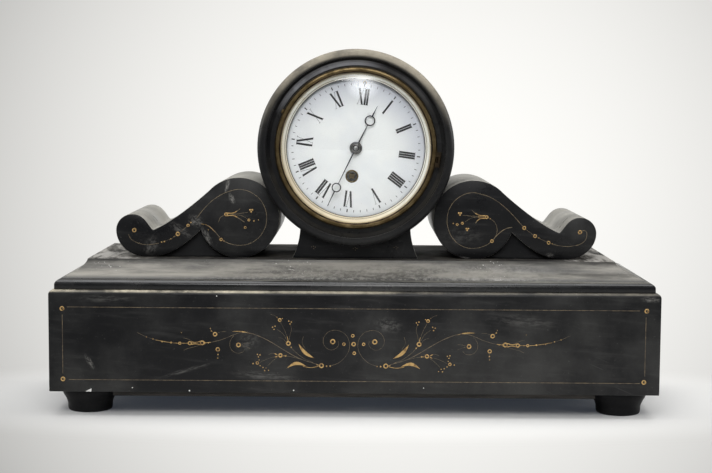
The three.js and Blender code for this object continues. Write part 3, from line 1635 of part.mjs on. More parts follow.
// Two brass straps run back from the bezel frame, and a screw through the rear frame pulls on each.
function caseStraps() {
  for (const [name, side] of [["left", -1], ["right", 1]]) {
    const at = side * strap_at;
    const half = strap_width / 2;
    const back = drum_back - strap_short_of_frame;
    const footFront = frame_end;
    const footBack = footFront + strap_thickness;
    const foot = box(at - strap_foot / 2, at + strap_foot / 2, footFront, footBack, -half, half);
    const web = box(at - strap_thickness / 2, at + strap_thickness / 2, footFront, back, -half, half);
    const block = box(at - strap_block / 2, at + strap_block / 2, back - strap_block, back, -half, half);
    const bore = caseScrewHole(back - strap_block, back, at);
    place(movement, `movement_strap_${name}`, cut(joined(foot, web, block), bore), brass);
    const headFront = rear_frame_back;
    const screw = bar(case_screw_radius, back - case_screw_reach, headFront, small_sides, at, 0);
    const head = bar(case_screw_head_radius, headFront, headFront + case_screw_head, small_sides, at, 0);
    const slot = box(
      at - case_screw_head_radius - overrun,
      at + case_screw_head_radius + overrun,
      headFront + case_screw_head / 2,
      headFront + case_screw_head + overrun,
      -case_screw_head / 4,
      case_screw_head / 4,
    );
    place(movement, `case_screw_${name}`, cut(joined(screw, head), slot), steel);
  }
}

function caseScrewHole(front, back, x) {
  return drill(case_screw_radius + case_screw_clearance, front, back, small_sides, x, 0);
}

// Brass frame that closes the back of the drum, and its hinged door.
function rearFrameAndDoor() {
  const ring = turned(
    [
      [rear_frame_bore_radius, drum_back],
      [rear_frame_radius, drum_back],
      [rear_frame_radius, rear_frame_back],
      [rear_frame_bore_radius, rear_frame_back],
    ],
    large_sides,
  );
  const spigot = turned(
    [
      [rear_spigot_radius - rear_spigot_wall, drum_back - rear_spigot_depth],
      [rear_spigot_radius, drum_back - rear_spigot_depth],
      [rear_spigot_radius, drum_back + rear_frame_thickness / 2],
      [rear_spigot_radius - rear_spigot_wall, drum_back + rear_frame_thickness / 2],
    ],
    large_sides,
  );
  const screwHoles = [-1, 1].map((side) => caseScrewHole(drum_back, rear_frame_back, side * strap_at));
  const pinHalf = rear_knuckle_half_length;
  const ears = [-1, 1].map((end) => {
    const low = end < 0 ? -pinHalf : pinHalf - rear_ear;
    const post = box(
      rear_hinge_x - knuckle_radius,
      rear_hinge_x + knuckle_radius,
      rear_frame_back - rear_frame_thickness / 2,
      rear_hinge_y,
      low,
      low + rear_ear,
    );
    const round = rearHingeRod(knuckle_radius, low, low + rear_ear);
    return joined(post, round);
  });
  const pin = rearHingeRod(hinge_pin_radius, -pinHalf, pinHalf);
  const frame = joined(cut(joined(ring, spigot), ...screwHoles), ...ears, pin);
  place(movement, "rear_frame", frame, brass);

  const disc = turned(
    [
      [0, rear_door_front + rear_door_dome],
      [rear_door_radius - rear_door_rim, rear_door_front],
      [rear_door_radius, rear_door_front],
      [rear_door_radius, rear_door_back],
      [rear_door_radius - rear_door_rim, rear_door_back],
      [0, rear_door_back + rear_door_dome],
    ],
    large_sides,
  );
  const gap = knuckle_clearance;
  const reachLow = rear_ear - pinHalf + gap;
  const arm = box(
    rear_door_radius - rear_door_rim,
    rear_hinge_x,
    rear_door_front,
    rear_door_back,
    reachLow,
    -reachLow,
  );
  const barrelPart = rearHingeRod(knuckle_radius, reachLow, -reachLow);
  const boreRadius = (hinge_pin_radius + pin_clearance) / Math.cos(Math.PI / small_sides);
  const bore = rearHingeRod(boreRadius, -pinHalf - overrun, pinHalf + overrun);
  const knobFront = rear_door_front + rear_door_thickness / 2;
  const knobEnd = rear_door_back + rear_knob_length;
  const knob = bar(rear_knob_radius, knobFront, knobEnd, small_sides, -rear_knob_at, 0);
  place(movement, "rear_door", cut(joined(disc, arm, barrelPart, knob), bore), brass);
}

function rearHingeRod(radius, low, high) {
  const rod = new THREE.CylinderGeometry(radius, radius, high - low, small_sides).rotateX(Math.PI / 2);
  return rod.translate(rear_hinge_x, rear_hinge_y, (low + high) / 2);
}

plinthWalls();
baseBoard();
feet();
topSlab();
scrolls();
drumCradle();
drum();
bezelFrame();
bezel();
bezelGlass();
sightRing();
dial();
movementPlates();
mainspringBarrel();
windingWork();
clickWork();
goingTrain();
motionWork();
hands();
anchor();
suspensionCock();
pendulum();
regulatorArbor();
caseStraps();
rearFrameAndDoor();

export default clock;
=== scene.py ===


# %% [markdown]
# # A black slate mantel clock, dressed over its CAD frame
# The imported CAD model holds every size, every part and every joint of the clock.
# This lesson loads it and gives it its looks: turned stone, gilt lines, enamel and brass.
# Everything is in metres, the front of the clock faces -Y, and the floor is at height 0.

# %% Load the frame
import math

import bmesh
import bpy
from mathutils import Matrix, Vector


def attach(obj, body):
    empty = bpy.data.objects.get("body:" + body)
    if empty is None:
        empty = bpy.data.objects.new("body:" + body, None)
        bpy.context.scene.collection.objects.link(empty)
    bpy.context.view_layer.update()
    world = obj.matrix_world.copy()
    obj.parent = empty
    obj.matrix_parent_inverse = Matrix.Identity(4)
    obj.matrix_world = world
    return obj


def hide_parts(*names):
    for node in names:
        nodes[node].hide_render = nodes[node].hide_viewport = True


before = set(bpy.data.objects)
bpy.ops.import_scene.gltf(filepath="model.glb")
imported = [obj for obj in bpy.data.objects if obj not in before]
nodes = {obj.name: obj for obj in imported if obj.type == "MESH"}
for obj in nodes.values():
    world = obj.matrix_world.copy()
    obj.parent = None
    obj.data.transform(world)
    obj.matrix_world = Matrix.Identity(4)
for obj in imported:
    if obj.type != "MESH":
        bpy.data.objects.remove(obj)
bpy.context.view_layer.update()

# %% [markdown]
# ## The camera
# The photograph looks at the clock from straight in front, a little above it and about 1.4 m away.
# A camera could be aimed with a constraint, but three small angles say the same thing in one line.
# The far, level view keeps the sides of the plinth nearly parallel, as a long lens does.

# %% Camera
mm = 0.001
sensor_width = 36.0
picture_width = 712
lens_pixels = 1469.2
camera_place = (3.7, -1381.75, 280.0)
camera_turn, camera_tip, camera_roll = -0.13, -5.17, 0.39


def at(x, y, z):
    return Vector((x, y, z)) * mm


def turned(degrees, axis):
    return Matrix.Rotation(math.radians(degrees), 4, axis)


bpy.ops.object.camera_add()
camera = bpy.context.object
camera.name = "studio_camera"
camera.data.sensor_width = sensor_width
camera.data.lens = lens_pixels * sensor_width / picture_width
camera.matrix_world = Matrix.Translation(at(*camera_place)) @ (
    turned(-camera_turn, "Z") @ turned(90 + camera_tip, "X") @ turned(camera_roll, "Z")
)
bpy.context.scene.camera = camera
print("lens", round(camera.data.lens, 1), "mm")

# %% [markdown]
# ## Studio light
# Black slate shows mostly what it mirrors, so the light comes from large soft panels.
# A wide panel overhead whitens every upper face and throws the shadow straight down, under the plinth.
# A second one leans in from above the camera and lights the dial. A small one has a grid, which narrows its beam to
# 14 degrees, so the glint that it leaves on the domed glass fades out softly.
# The room in front stays dim: a bright room would turn the black front panel grey.

# %% Lights
clock_middle, dial_level = 0.17, 0.26
softboxes = {
    "overhead_softbox": ((0.0, 0.0, 1.8), (2.6, 1.6), 25.0, 180),
    "front_softbox": ((-0.1, -1.45, 1.35), (1.6, 0.8), 15.0, 180),
    "glint_softbox": ((0.085, -1.9, 1.08), (0.70, 0.64), 0.052, 14),
    "left_softbox": ((-1.9, 0.2, 0.8), (0.9, 1.2), 6.0, 180),
    "right_softbox": ((1.9, 0.2, 0.8), (0.9, 1.2), 7.0, 180),
}
for name, (place, size, power, spread) in softboxes.items():
    bpy.ops.object.light_add(type="AREA", location=place)
    lamp = bpy.context.object
    lamp.name = name
    lamp.data.shape = "ELLIPSE"
    lamp.data.size, lamp.data.size_y = size
    lamp.data.energy = power
    lamp.data.spread = math.radians(spread)
    target = Vector((0, 0, dial_level if spread < 180 else clock_middle))
    lamp.rotation_euler = (Vector(place) - target).to_track_quat("Z", "Y").to_euler()
print(len(softboxes), "softboxes")

# %% [markdown]
# ## Building with nodes
# Every finish below is a small net of nodes on a Principled shader.
# These helpers add a node, join it and hand back its output, so that each recipe reads top to bottom.
# An output knows which net it belongs to, so the next node is simply added beside it.
# All patterns read Object coordinates, which are metres here, so a scale of 100 means 10 mm cells.


# %% Helpers for finishes
def new_finish(name):
    finish = bpy.data.materials.new(name)
    finish.use_nodes = True
    return finish, finish.node_tree, finish.node_tree.nodes["Principled BSDF"]


def is_socket(value):
    return isinstance(value, bpy.types.NodeSocket)


def feed(socket, value):
    """Joins an input to another node's output, or sets it to a plain value."""
    if is_socket(value):
        socket.id_data.links.new(value, socket)
    else:
        socket.default_value = (*value, 1) if socket.type == "RGBA" else value


def wire(node, **inputs):
    """Feeds a node's inputs by their names, with an underscore for a space."""
    for name, value in inputs.items():
        feed(node.inputs[name.replace("_", " ")], value)
    return node


def add_node(tree, kind, **settings):
    made = tree.nodes.new(kind)
    for key, value in settings.items():
        setattr(made, key, value)
    return made


def beside(values, kind, **settings):
    """Adds a node to the net that one of the values comes from."""
    return add_node(next(value.id_data for value in values if is_socket(value)), kind, **settings)


def places(tree, stretch=(1, 1, 1), turn=(0, 0, 0), centre=(0, 0, 0)):
    """Object coordinates, stretched and turned about a centre in metres."""
    coordinates = add_node(tree, "ShaderNodeTexCoord").outputs["Object"]
    mapping = add_node(tree, "ShaderNodeMapping", vector_type="TEXTURE")
    wire(mapping, Location=centre, Rotation=[math.radians(a) for a in turn], Scale=[1 / s for s in stretch])
    return wire(mapping, Vector=coordinates).outputs["Vector"]


def axes(vector):
    """The outputs X, Y and Z of a vector."""
    return wire(beside([vector], "ShaderNodeSeparateXYZ"), Vector=vector).outputs


def normals(tree):
    return axes(add_node(tree, "ShaderNodeNewGeometry").outputs["Normal"])


def length(vector):
    node = beside([vector], "ShaderNodeVectorMath", operation="LENGTH")
    feed(node.inputs[0], vector)
    return node.outputs["Value"]


def from_axis(tree, height):
    """The distance from a line that runs from front to back at a height in mm."""
    return length(places(tree, (1, 0.01, 1), (0, 0, 0), at(0, 0, height)))


def grain(vector, scale, detail=4, roughness=0.55):
    noise = beside([vector], "ShaderNodeTexNoise")
    return wire(noise, Vector=vector, Scale=scale, Detail=detail, Roughness=roughness).outputs["Fac"]


def between(value, low, high, to_low=0.0, to_high=1.0):
    """Maps low..high of a value to to_low..to_high, and stops at both ends."""
    node = beside([value], "ShaderNodeMapRange", interpolation_type="SMOOTHSTEP")
    return wire(node, Value=value, From_Min=low, From_Max=high, To_Min=to_low, To_Max=to_high).outputs["Result"]


def maths(operation, *values, clamp=False):
    node = beside(values, "ShaderNodeMath", operation=operation, use_clamp=clamp)
    for socket, value in zip(node.inputs, values):
        feed(socket, value)
    return node.outputs["Value"]


def times(first, *others):
    for other in others:
        first = maths("MULTIPLY", first, other)
    return first


def plus(first, second):
    return maths("ADD", first, second, clamp=True)


def blend(share, first, second):
    """Mixes two colours: the first at a share of 0, the second at 1."""
    node = wire(beside([share, first, second], "ShaderNodeMix", data_type="RGBA"), Factor=share)
    for socket, value in zip([s for s in node.inputs if s.type == "RGBA"], (first, second)):
        feed(socket, value)
    return next(s for s in node.outputs if s.type == "RGBA")


def stained(colour, stain, *masks):
    """Lays a stain over a colour, as strongly as the product of the masks."""
    return blend(times(*masks), colour, stain)


def upwards(tree, low, high):
    """How far a face looks up, from 0 at the low height of its normal to 1 at the high one."""
    return between(normals(tree)["Z"], low, high)


def dent(shader, height, distance, strength=1.0):
    bump = wire(beside([height], "ShaderNodeBump"), Height=height, Distance=distance, Strength=strength)
    wire(shader, Normal=bump.outputs["Normal"])


def show_either(share, first, second):
    """Ends a net with the first shader at a share of 0 and the second at 1."""
    mixer = beside([share], "ShaderNodeMixShader")
    for socket, value in zip(mixer.inputs, (share, first, second)):
        feed(socket, value)
    wire(share.id_data.nodes["Material Output"], Surface=mixer.outputs["Shader"])


print("finish helpers ready")

# %% [markdown]
# ## Floor and backdrop
# A photographer's sweep is one sheet that lies flat and curves up behind the object.
# Close to the clock it is real paper that takes the shadow, and a faint painted glow lifts that shadow to a blue-grey.
# Further out it glows with a fixed tone, painted light, so the picture stays bright without more light on the clock.
# The painted tone is palest in the middle and darkens to the sides like light falling off, spread like a fan from a
# point in front of the clock.

# %% Studio sweep
sweep_reach = 6.0
black, paper_colour, shadow_lift_glow_colour = (0.0, 0.0, 0.0), (1.0, 0.992, 0.962), (0.62, 0.75, 1.0)
fan_foot, fan_centre, eye_level, fan_drop = -1.4, 0.035, 0.28, 0.07
fall_sideways, fall_upwards, even_part, darkest = 4.8, 5.2, 0.035, 0.6
paper_shade, shadow_lift_glow, near_edge, far_edge = 0.06, 0.035, 0.10, 0.20

bpy.ops.object.select_all(action="DESELECT")
bpy.ops.mesh.primitive_plane_add(size=2 * sweep_reach, location=(0, 0, 0))
sweep = bpy.context.object
sweep.name = "studio_sweep"
bpy.ops.object.mode_set(mode="EDIT")
bpy.ops.mesh.select_mode(type="EDGE")
bpy.ops.mesh.select_all(action="DESELECT")
grid = bmesh.from_edit_mesh(sweep.data)
for edge in grid.edges:
    edge.select_set(all(vertex.co.y > 0 for vertex in edge.verts))
bmesh.update_edit_mesh(sweep.data)
for lift, back in ((0.4, 1.0), (1.0, 0.7), (1.6, 0.3), (4.0, 0.0)):
    bpy.ops.mesh.extrude_region_move(TRANSFORM_OT_translate={"value": (0, back, lift)})
bpy.ops.object.mode_set(mode="OBJECT")
bpy.ops.object.shade_smooth()

paper, tree, shader = new_finish("studio_paper")
spot = axes(places(tree))
reach = maths("SUBTRACT", spot["Y"], fan_foot)
aside = maths("SUBTRACT", maths("DIVIDE", spot["X"], reach), fan_centre)
above = maths("ADD", maths("DIVIDE", maths("SUBTRACT", spot["Z"], eye_level), reach), fan_drop)
fading = times(maths("POWER", aside, 2.0), fall_sideways)
fading = maths("MULTIPLY_ADD", maths("POWER", above, 2.0), fall_upwards, fading)
fading = maths("SUBTRACT", fading, even_part, clamp=True)
tone = blend(maths("MINIMUM", fading, darkest), paper_colour, black)
rays = add_node(tree, "ShaderNodeLightPath").outputs
wire(shader, Base_Color=blend(paper_shade, tone, black), Roughness=0.9)
# painted light: a faint bluish glow that only the camera sees, lifting the shadow under the plinth
wire(shader, Emission_Color=shadow_lift_glow_colour, Emission_Strength=times(rays["Is Camera Ray"], shadow_lift_glow))
away = between(length(places(tree, (0.35, 1, 1))), near_edge, far_edge)
seen = plus(plus(rays["Is Camera Ray"], rays["Is Glossy Ray"]), rays["Is Transmission Ray"])
glow = wire(add_node(tree, "ShaderNodeEmission"), Color=tone)
show_either(times(away, seen), shader.outputs["BSDF"], glow.outputs["Emission"])
sweep.data.materials.append(paper)

world = bpy.data.worlds.new("soft_room")
world.use_nodes = True
room = world.node_tree
direction = axes(add_node(room, "ShaderNodeTexCoord").outputs["Generated"])
wire(room.nodes["Background"], Color=(1, 1, 1), Strength=between(direction["Y"], -0.75, 0.15, 0.10, 0.62))
bpy.context.scene.world = world
bpy.context.scene.view_settings.view_transform = "Standard"
print("sweep reaches", sweep_reach, "m")

# %% [markdown]
# ## Polished slate, gone satin
# The case is black slate: polished once, then handled and dusted for a century.
# It is nearly black with faint grey clouds, has fine scratches, and wears a pale film wherever a face looks up: partly
# a dusting, partly a painted sheen where light falls on the upper faces.
# One recipe with a few settings serves every stone, so neighbouring slabs match but are never the same.


# %% Slate
def worn_patch(tree, centre, size, turn=0, cells=None):
    """A ragged patch round a centre, both in mm, turned in the front face by an angle."""
    near = places(tree, [1 / (s * mm) for s in size], (0, turn, 0), at(*centre))
    cloth = grain(places(tree), cells, 4, 0.7) if cells else grain(near, 3.0, 7, 0.7)
    return times(between(length(near), 0.2, 1.0, 1.0, 0.0), between(cloth, 0.42, 0.62))


def lit_band(tree, spot, height, low, high, soft=0.8):
    """A ring of light between two radii round an axis at a height, all in mm, on its upper left part only."""
    radius, where = from_axis(tree, height), axes(places(tree))
    return [
        between(radius, low * mm, (low + soft) * mm),
        between(radius, (high - soft) * mm, high * mm, 1.0, 0.0),
        between(where["Z"], (height + 28) * mm, (height + 52) * mm),
        between(where["X"], 0.0, 0.03, 1.0, 0.15),
        between(grain(spot, 60, 5), 0.3, 0.6, 0.5, 1.0),
    ]


def slate_finish(name, film, smear=(1, 1, 1), shine=0.4, cloud=0.5, start=(0, 0, 0), dusty=(0.30, 0.275, 0.235),
                 rise=(0.15, 0.8), flank=0.0, patches=(), mirror=0.34, window=None, least=0.1, band=None, specks=0.0):
    """Nearly black stone with clouds, specks and scratches, and a pale film where it looks up: a dusting and a painted
    sheen.
    """
    finish, tree, shader = new_finish(name)
    spot = places(tree, centre=start)
    clouds = between(grain(spot, 9, 8, 0.62), 0.42, 0.74)
    colour = blend(times(clouds, cloud), (0.0065, 0.0068, 0.008), (0.058, 0.058, 0.056))
    brushed = between(grain(places(tree, (3, 3, 26), (0, 4, 0), start), 7, 5, 0.6), 0.5, 0.8)
    colour = stained(colour, (0.085, 0.085, 0.082), brushed, 0.35 * cloud)
    colour = stained(colour, (0.15, 0.148, 0.14), between(grain(spot, 520, 3, 0.7), 0.64, 0.76), 0.3)
    hair = grain(places(tree, (14, 14, 520), (0, 24, 0), start), 1.0, 2, 0.5)
    scratch = times(between(hair, 0.72, 0.76), between(grain(spot, 6, 3), 0.55, 0.7))
    colour = stained(colour, (0.17, 0.17, 0.165), scratch, 0.3)
    for centre, size, turn, strength, *cells in patches:
        colour = stained(colour, (0.34, 0.33, 0.31), worn_patch(tree, centre, size, turn, *cells), strength)
    smears = grain(places(tree, smear, (0, 0, 0), start), 16, 8, 0.7)
    # the pale film on faces that look up: a dusting, and a painted sheen where light falls on them
    dust_and_sheen = times(upwards(tree, *rise), between(smears, 0.38, 0.62, least, 1.0), film)
    if window:
        axis, *limits = window
        dust_and_sheen = times(dust_and_sheen, between(axes(places(tree))[axis], *limits))
    colour = stained(colour, dusty, dust_and_sheen)
    if specks:
        groups = between(grain(spot, 14, 3), 0.50, 0.62)
        colour = stained(colour, (0.62, 0.61, 0.57), between(grain(spot, 420, 2, 0.6), 0.665, 0.70), groups, specks)
    if band:
        colour = stained(colour, (0.33, 0.335, 0.36), *lit_band(tree, spot, *band))
    if flank:
        sideways = between(maths("ABSOLUTE", normals(tree)["Y"]), 0.35, 0.6, 1.0, 0.0)
        colour = stained(colour, (0.36, 0.35, 0.315), sideways, between(smears, 0.34, 0.58, 0.45, 1.0), flank)
    gloss = between(grain(spot, 30, 5), 0.3, 0.75, shine - 0.1, shine + 0.14)
    wire(shader, Base_Color=colour, Roughness=plus(gloss, times(dust_and_sheen, 0.25)), Specular_IOR_Level=mirror)
    dent(shader, plus(times(grain(spot, 160, 5, 0.6), 0.5), times(scratch, -0.5)), 0.00012, 0.5)
    return finish


# each patch: middle, size, turn in degrees, strength and, where it is woven finely, the scale of its noise
panel_wear = [
    ((30.0, -88, 84.0), (16, 20, 9), 8, 0.20),
    ((-95.0, -88, 68.0), (15, 20, 11), -20, 0.16),
    ((-222.0, -88, 106.0), (34, 20, 5), 0, 0.16),
    ((-236.0, -88, 49.0), (3, 20, 10), -32, 0.45),
    ((-80.0, -88, 37.5), (36, 20, 5), 4, 0.22),
    ((-150.0, -88, 42.0), (30, 20, 2.5), -16, 0.25),
    ((150.0, -88, 88.0), (40, 20, 8), 5, 0.14),
    ((263.0, -88, 108.5), (11, 20, 3.6), 3, 0.5),
]
scroll_wear = [
    ((-117.0, -43, 205.0), (2.2, 12, 10), 14, 0.8),
    ((-113.0, -43, 193.0), (3.0, 12, 7), -24, 0.8),
    ((-146.0, -43, 172.0), (9, 12, 7), 30, 0.45),
    ((-136.0, -43, 158.0), (4, 12, 12), -28, 0.55),
    ((-187.0, -43, 149.0), (8, 12, 12), 20, 0.3),
    ((-160.0, -43, 164.0), (16, 12, 5), 35, 0.3),
    ((98.0, -43, 139.8), (9, 12, 1.6), 0, 0.9),
    ((98.0, -43, 160.0), (26, 12, 12), 0, 0.12),
    ((178.0, -43, 143.0), (5, 12, 3), 0, 0.5),
]
slope_wear = [((20, -74, 126), (230, 60, 14), 0, 0.55, 260), ((120, -74, 126), (70, 60, 14), 0, 0.6, 60)]
# pale patches on the flat top at both ends, beyond the scrolls
pale_flat_ends = [((-232, 0, 139), (54, 190, 12), 0, 1.0), ((230, 0, 139), (48, 190, 12), 0, 1.0)]
slate_looks = {
    # plain: the cream film on the front slab's upper arris is partly wear, partly a painted highlight, and it fades
    # towards the right
    "plain": dict(
        film=1.0, dusty=(0.62, 0.56, 0.43), rise=(0.45, 0.8), patches=panel_wear, window=("X", -0.12, 0.12, 1.0, 0.22),
        cloud=0.7, mirror=0.27,
    ),
    "side": dict(film=0.7, start=(0.3, 0.2, 0.1), cloud=0.7),
    # moulding: the pale film on the hollow slope is partly a dusting, partly a painted sheen where the slope faces the
    # light above
    "moulding": dict(
        film=1.0, smear=(0.34, 1.9, 1.9), shine=0.34, dusty=(0.31, 0.295, 0.26), rise=(0.2, 0.7), patches=slope_wear,
        least=0.2, window=("Z", 0.1226, 0.1262, 0.1, 1.0), specks=0.9,
    ),
    "flat": dict(film=0.2, shine=0.6, cloud=0.3, start=(0.4, 0.2, 0.9), mirror=0.05, patches=pale_flat_ends * 2),
    # nose: the pale film on top of the rounded roll is a painted highlight of the overhead light, with a little
    # dusting
    "nose": dict(
        film=0.8, shine=0.24, cloud=0.5, start=(0.2, 0.2, 0.9), mirror=0.6, dusty=(0.24, 0.23, 0.2), rise=(0.86, 0.99),
        smear=(0.16, 2.2, 2.2),
    ),
    "scroll": dict(
        film=0.8, start=(0.5, 0.1, 0.4), cloud=0.7, flank=0.9, patches=scroll_wear, mirror=0.27, shine=0.34
    ),
    # drum: the brown-grey film on top of the front ring is partly a dusting, partly a painted highlight from the
    # overhead light; the band paints a reflection on the ring's inner flat
    "drum": dict(
        film=1.0, shine=0.34, start=(0.1, 0.7, 0.2), cloud=0.3, dusty=(0.34, 0.305, 0.24), rise=(-0.05, 0.3),
        mirror=0.22, window=("Z", 0.25, 0.31, 0.08, 1.0), least=0.4, band=(240.0, 74.0, 79.2),
    ),
    "foot": dict(film=0.3, start=(0.9, 0.3, 0.6), cloud=0.15, mirror=0.12),
}
slate = {name: slate_finish("slate_" + name, **look) for name, look in slate_looks.items()}
print(len(slate), "slate finishes")

# %% [markdown]
# ## Modelling by hand, in code
# A piece starts as a primitive and is shaped in edit mode, and modifiers finish it.
# Turned and sawn stone both start from an outline: one point is dragged along it with extrude.
# Spinning the outline makes a turned piece, and filling and extruding it makes a sawn one.


# %% Helpers for modelling
def clear_selection():
    if bpy.context.object and bpy.context.object.mode != "OBJECT":
        leave_edit()
    bpy.ops.object.select_all(action="DESELECT")


def take_up(*pieces):
    clear_selection()
    for piece in pieces:
        piece.select_set(True)
    bpy.context.view_layer.objects.active = pieces[0]


def edit(piece):
    """Opens a piece in edit mode with all of it selected."""
    take_up(piece)
    bpy.ops.object.mode_set(mode="EDIT")
    select_all()


def select_all():
    bpy.ops.mesh.select_all(action="SELECT")


def leave_edit():
    bpy.ops.object.mode_set(mode="OBJECT")


def close_up(piece):
    """Turns all faces outwards and leaves edit mode."""
    select_all()
    bpy.ops.mesh.normals_make_consistent(inside=False)
    leave_edit()
    return piece


def named(name):
    piece = bpy.context.object
    piece.name = piece.data.name = name
    return piece


def apply_place():
    bpy.ops.object.transform_apply(location=True, rotation=True, scale=True)


def middle(part):
    return sum([v.co for v in part.verts], Vector()) / len(part.verts) / mm


def pick(piece, kind, test):
    """In edit mode, selects the edges or faces whose middle, in mm, passes the test."""
    bpy.ops.mesh.select_mode(type=kind)
    bpy.ops.mesh.select_all(action="DESELECT")
    mesh = bmesh.from_edit_mesh(piece.data)
    for part in {"EDGE": mesh.edges, "FACE": mesh.faces}[kind]:
        if test(middle(part)):
            part.select_set(True)
    mesh.select_flush_mode()
    bmesh.update_edit_mesh(piece.data)


def trace(name, points):
    """Drags one vertex from point to point, and leaves the chain in edit mode."""
    clear_selection()
    bpy.ops.mesh.primitive_plane_add(size=mm, location=(0, 0, 0))
    piece = named(name)
    edit(piece)
    bpy.ops.mesh.select_mode(type="VERT")
    bpy.ops.mesh.merge(type="CENTER")
    select_all()
    bpy.ops.transform.translate(value=points[0])
    for before, after in zip(points, points[1:]):
        bpy.ops.mesh.extrude_vertices_move(TRANSFORM_OT_translate={"value": after - before})
    return piece


def spun(name, profile, axis, steps, centre=(0, 0, 0)):
    """Turns a profile of (radius, place along the axis), in mm, about an axis through the centre."""
    along = Vector(axis)
    points = [at(*centre) + Vector((1, 0, 0)) * radius * mm + along * place * mm for radius, place in profile]
    piece = trace(name, points)
    if profile[0][0] > 0:
        bpy.ops.mesh.select_all(action="DESELECT")
        mesh = bmesh.from_edit_mesh(piece.data)
        for end in [v for v in mesh.verts if len(v.link_edges) == 1]:
            end.select_set(True)
        bmesh.update_edit_mesh(piece.data)
        bpy.ops.mesh.edge_face_add()
    select_all()
    bpy.ops.mesh.spin(steps=steps, angle=2 * math.pi, center=at(*centre), axis=along)
    select_all()
    bpy.ops.mesh.remove_doubles(threshold=2e-6)
    return close_up(piece)


def sawn(name, outline, front, back):
    """Fills an outline of (x, z) points, in mm, and gives it depth from front to back."""
    piece = trace(name, [at(x, front, z) for x, z in outline])
    select_all()
    bpy.ops.mesh.edge_face_add()
    bpy.ops.mesh.extrude_region_move(TRANSFORM_OT_translate={"value": at(0, back - front, 0)})
    return close_up(piece)


def block(name, low, high):
    clear_selection()
    low, high = Vector(low), Vector(high)
    bpy.ops.mesh.primitive_cube_add(size=1, location=(low + high) / 2 * mm, scale=(high - low) * mm)
    apply_place()
    return named(name)


def rod(name, radius, start, end, sides=32):
    """A round bar between two points in mm."""
    clear_selection()
    start, end = at(*start), at(*end)
    turn = (end - start).to_track_quat("Z", "Y").to_euler()
    bpy.ops.mesh.primitive_cylinder_add(
        vertices=sides, radius=radius * mm, depth=(end - start).length, location=(start + end) / 2, rotation=turn
    )
    apply_place()
    return named(name)


def finish_with(piece, kind, **settings):
    """Adds a modifier and applies it."""
    take_up(piece)
    bpy.ops.object.modifier_add(type=kind)
    modifier = piece.modifiers[-1]
    for key, value in settings.items():
        setattr(modifier, key, value)
    bpy.ops.object.modifier_apply(modifier=modifier.name)
    return piece


def rounded(piece, width, segments=3, degrees=35):
    return finish_with(
        piece, "BEVEL", width=width * mm, segments=segments, limit_method="ANGLE",
        angle_limit=math.radians(degrees), harden_normals=False,
    )


def combined(operation, piece, others, **settings):
    for other in others:
        finish_with(piece, "BOOLEAN", operation=operation, solver="EXACT", object=other, **settings)
        bpy.data.objects.remove(other)
    return piece


def carved(piece, *cutters, **settings):
    return combined("DIFFERENCE", piece, cutters, **settings)


def welded(piece, *others):
    return combined("UNION", piece, others)


def gathered(name, pieces):
    take_up(*pieces)
    bpy.ops.object.join()
    return named(name)


def settled(piece, body, finish, slot_name, *replaced, smooth=32):
    """Applies the place, smooths, gives the piece its finish and its body, and hides the CAD nodes it stands for."""
    take_up(piece)
    apply_place()
    bpy.ops.object.shade_smooth_by_angle(angle=math.radians(smooth))
    if not piece.data.materials:
        piece.data.materials.append(finish)
    if replaced:
        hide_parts(*replaced)
    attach(piece, body)
    clear_selection()
    print(f"{piece.name}: {len(piece.data.polygons)} faces on {body}")


def laid(piece, look, *replaced, **settings):
    """Settles a stone of the case in one of the slate finishes."""
    settled(piece, "case", slate[look], "slate", *replaced, **settings)


def tinted(piece, first, *others):
    """Gives other finishes to the faces whose middle, in mm, passes the test that comes with each."""
    piece.data.materials.append(first)
    edit(piece)
    for number, (finish, test) in enumerate(others, 1):
        piece.data.materials.append(finish)
        pick(piece, "FACE", test)
        piece.active_material_index = number
        bpy.ops.object.material_slot_assign()
    leave_edit()
    return piece


def copied(piece, name, shift=(0, 0, 0), flip=1):
    """A copy with its own mesh, moved by a shift in mm or flipped over."""
    take_up(piece)
    bpy.ops.object.duplicate(linked=False)
    twin = named(name)
    twin.location = at(*shift)
    twin.scale.x = flip
    apply_place()
    return twin


def flipped(piece, name):
    """A mirror image across the clock's middle, with its faces turned outwards again."""
    twin = copied(piece, name, flip=-1)
    edit(twin)
    return close_up(twin)


def circle_point(centre, radius, degrees):
    angle = math.radians(degrees)
    return (centre[0] + radius * math.cos(angle), centre[1] + radius * math.sin(angle))


def arc(centre, radius, start, end, steps):
    """Points on a circle from one angle to another, in degrees."""
    return [circle_point(centre, radius, start + (end - start) * i / steps) for i in range(steps + 1)]


def cubic(start, first, second, end, steps):
    """Points on a Bezier curve after its start."""
    found = []
    for i in range(1, steps + 1):
        t = i / steps
        weights = ((1 - t) ** 3, 3 * t * (1 - t) ** 2, 3 * t * t * (1 - t), t**3)
        found.append(tuple(sum(w * p[k] for w, p in zip(weights, (start, first, second, end))) for k in (0, 1)))
    return found


print("modelling helpers ready")

# %% [markdown]
# ## Turned feet
# The clock stands on four low slate feet: a straight base that flares like a bell into a wide collar above.
# They were turned on a lathe, so one profile is spun once and the foot is copied to the other three corners.

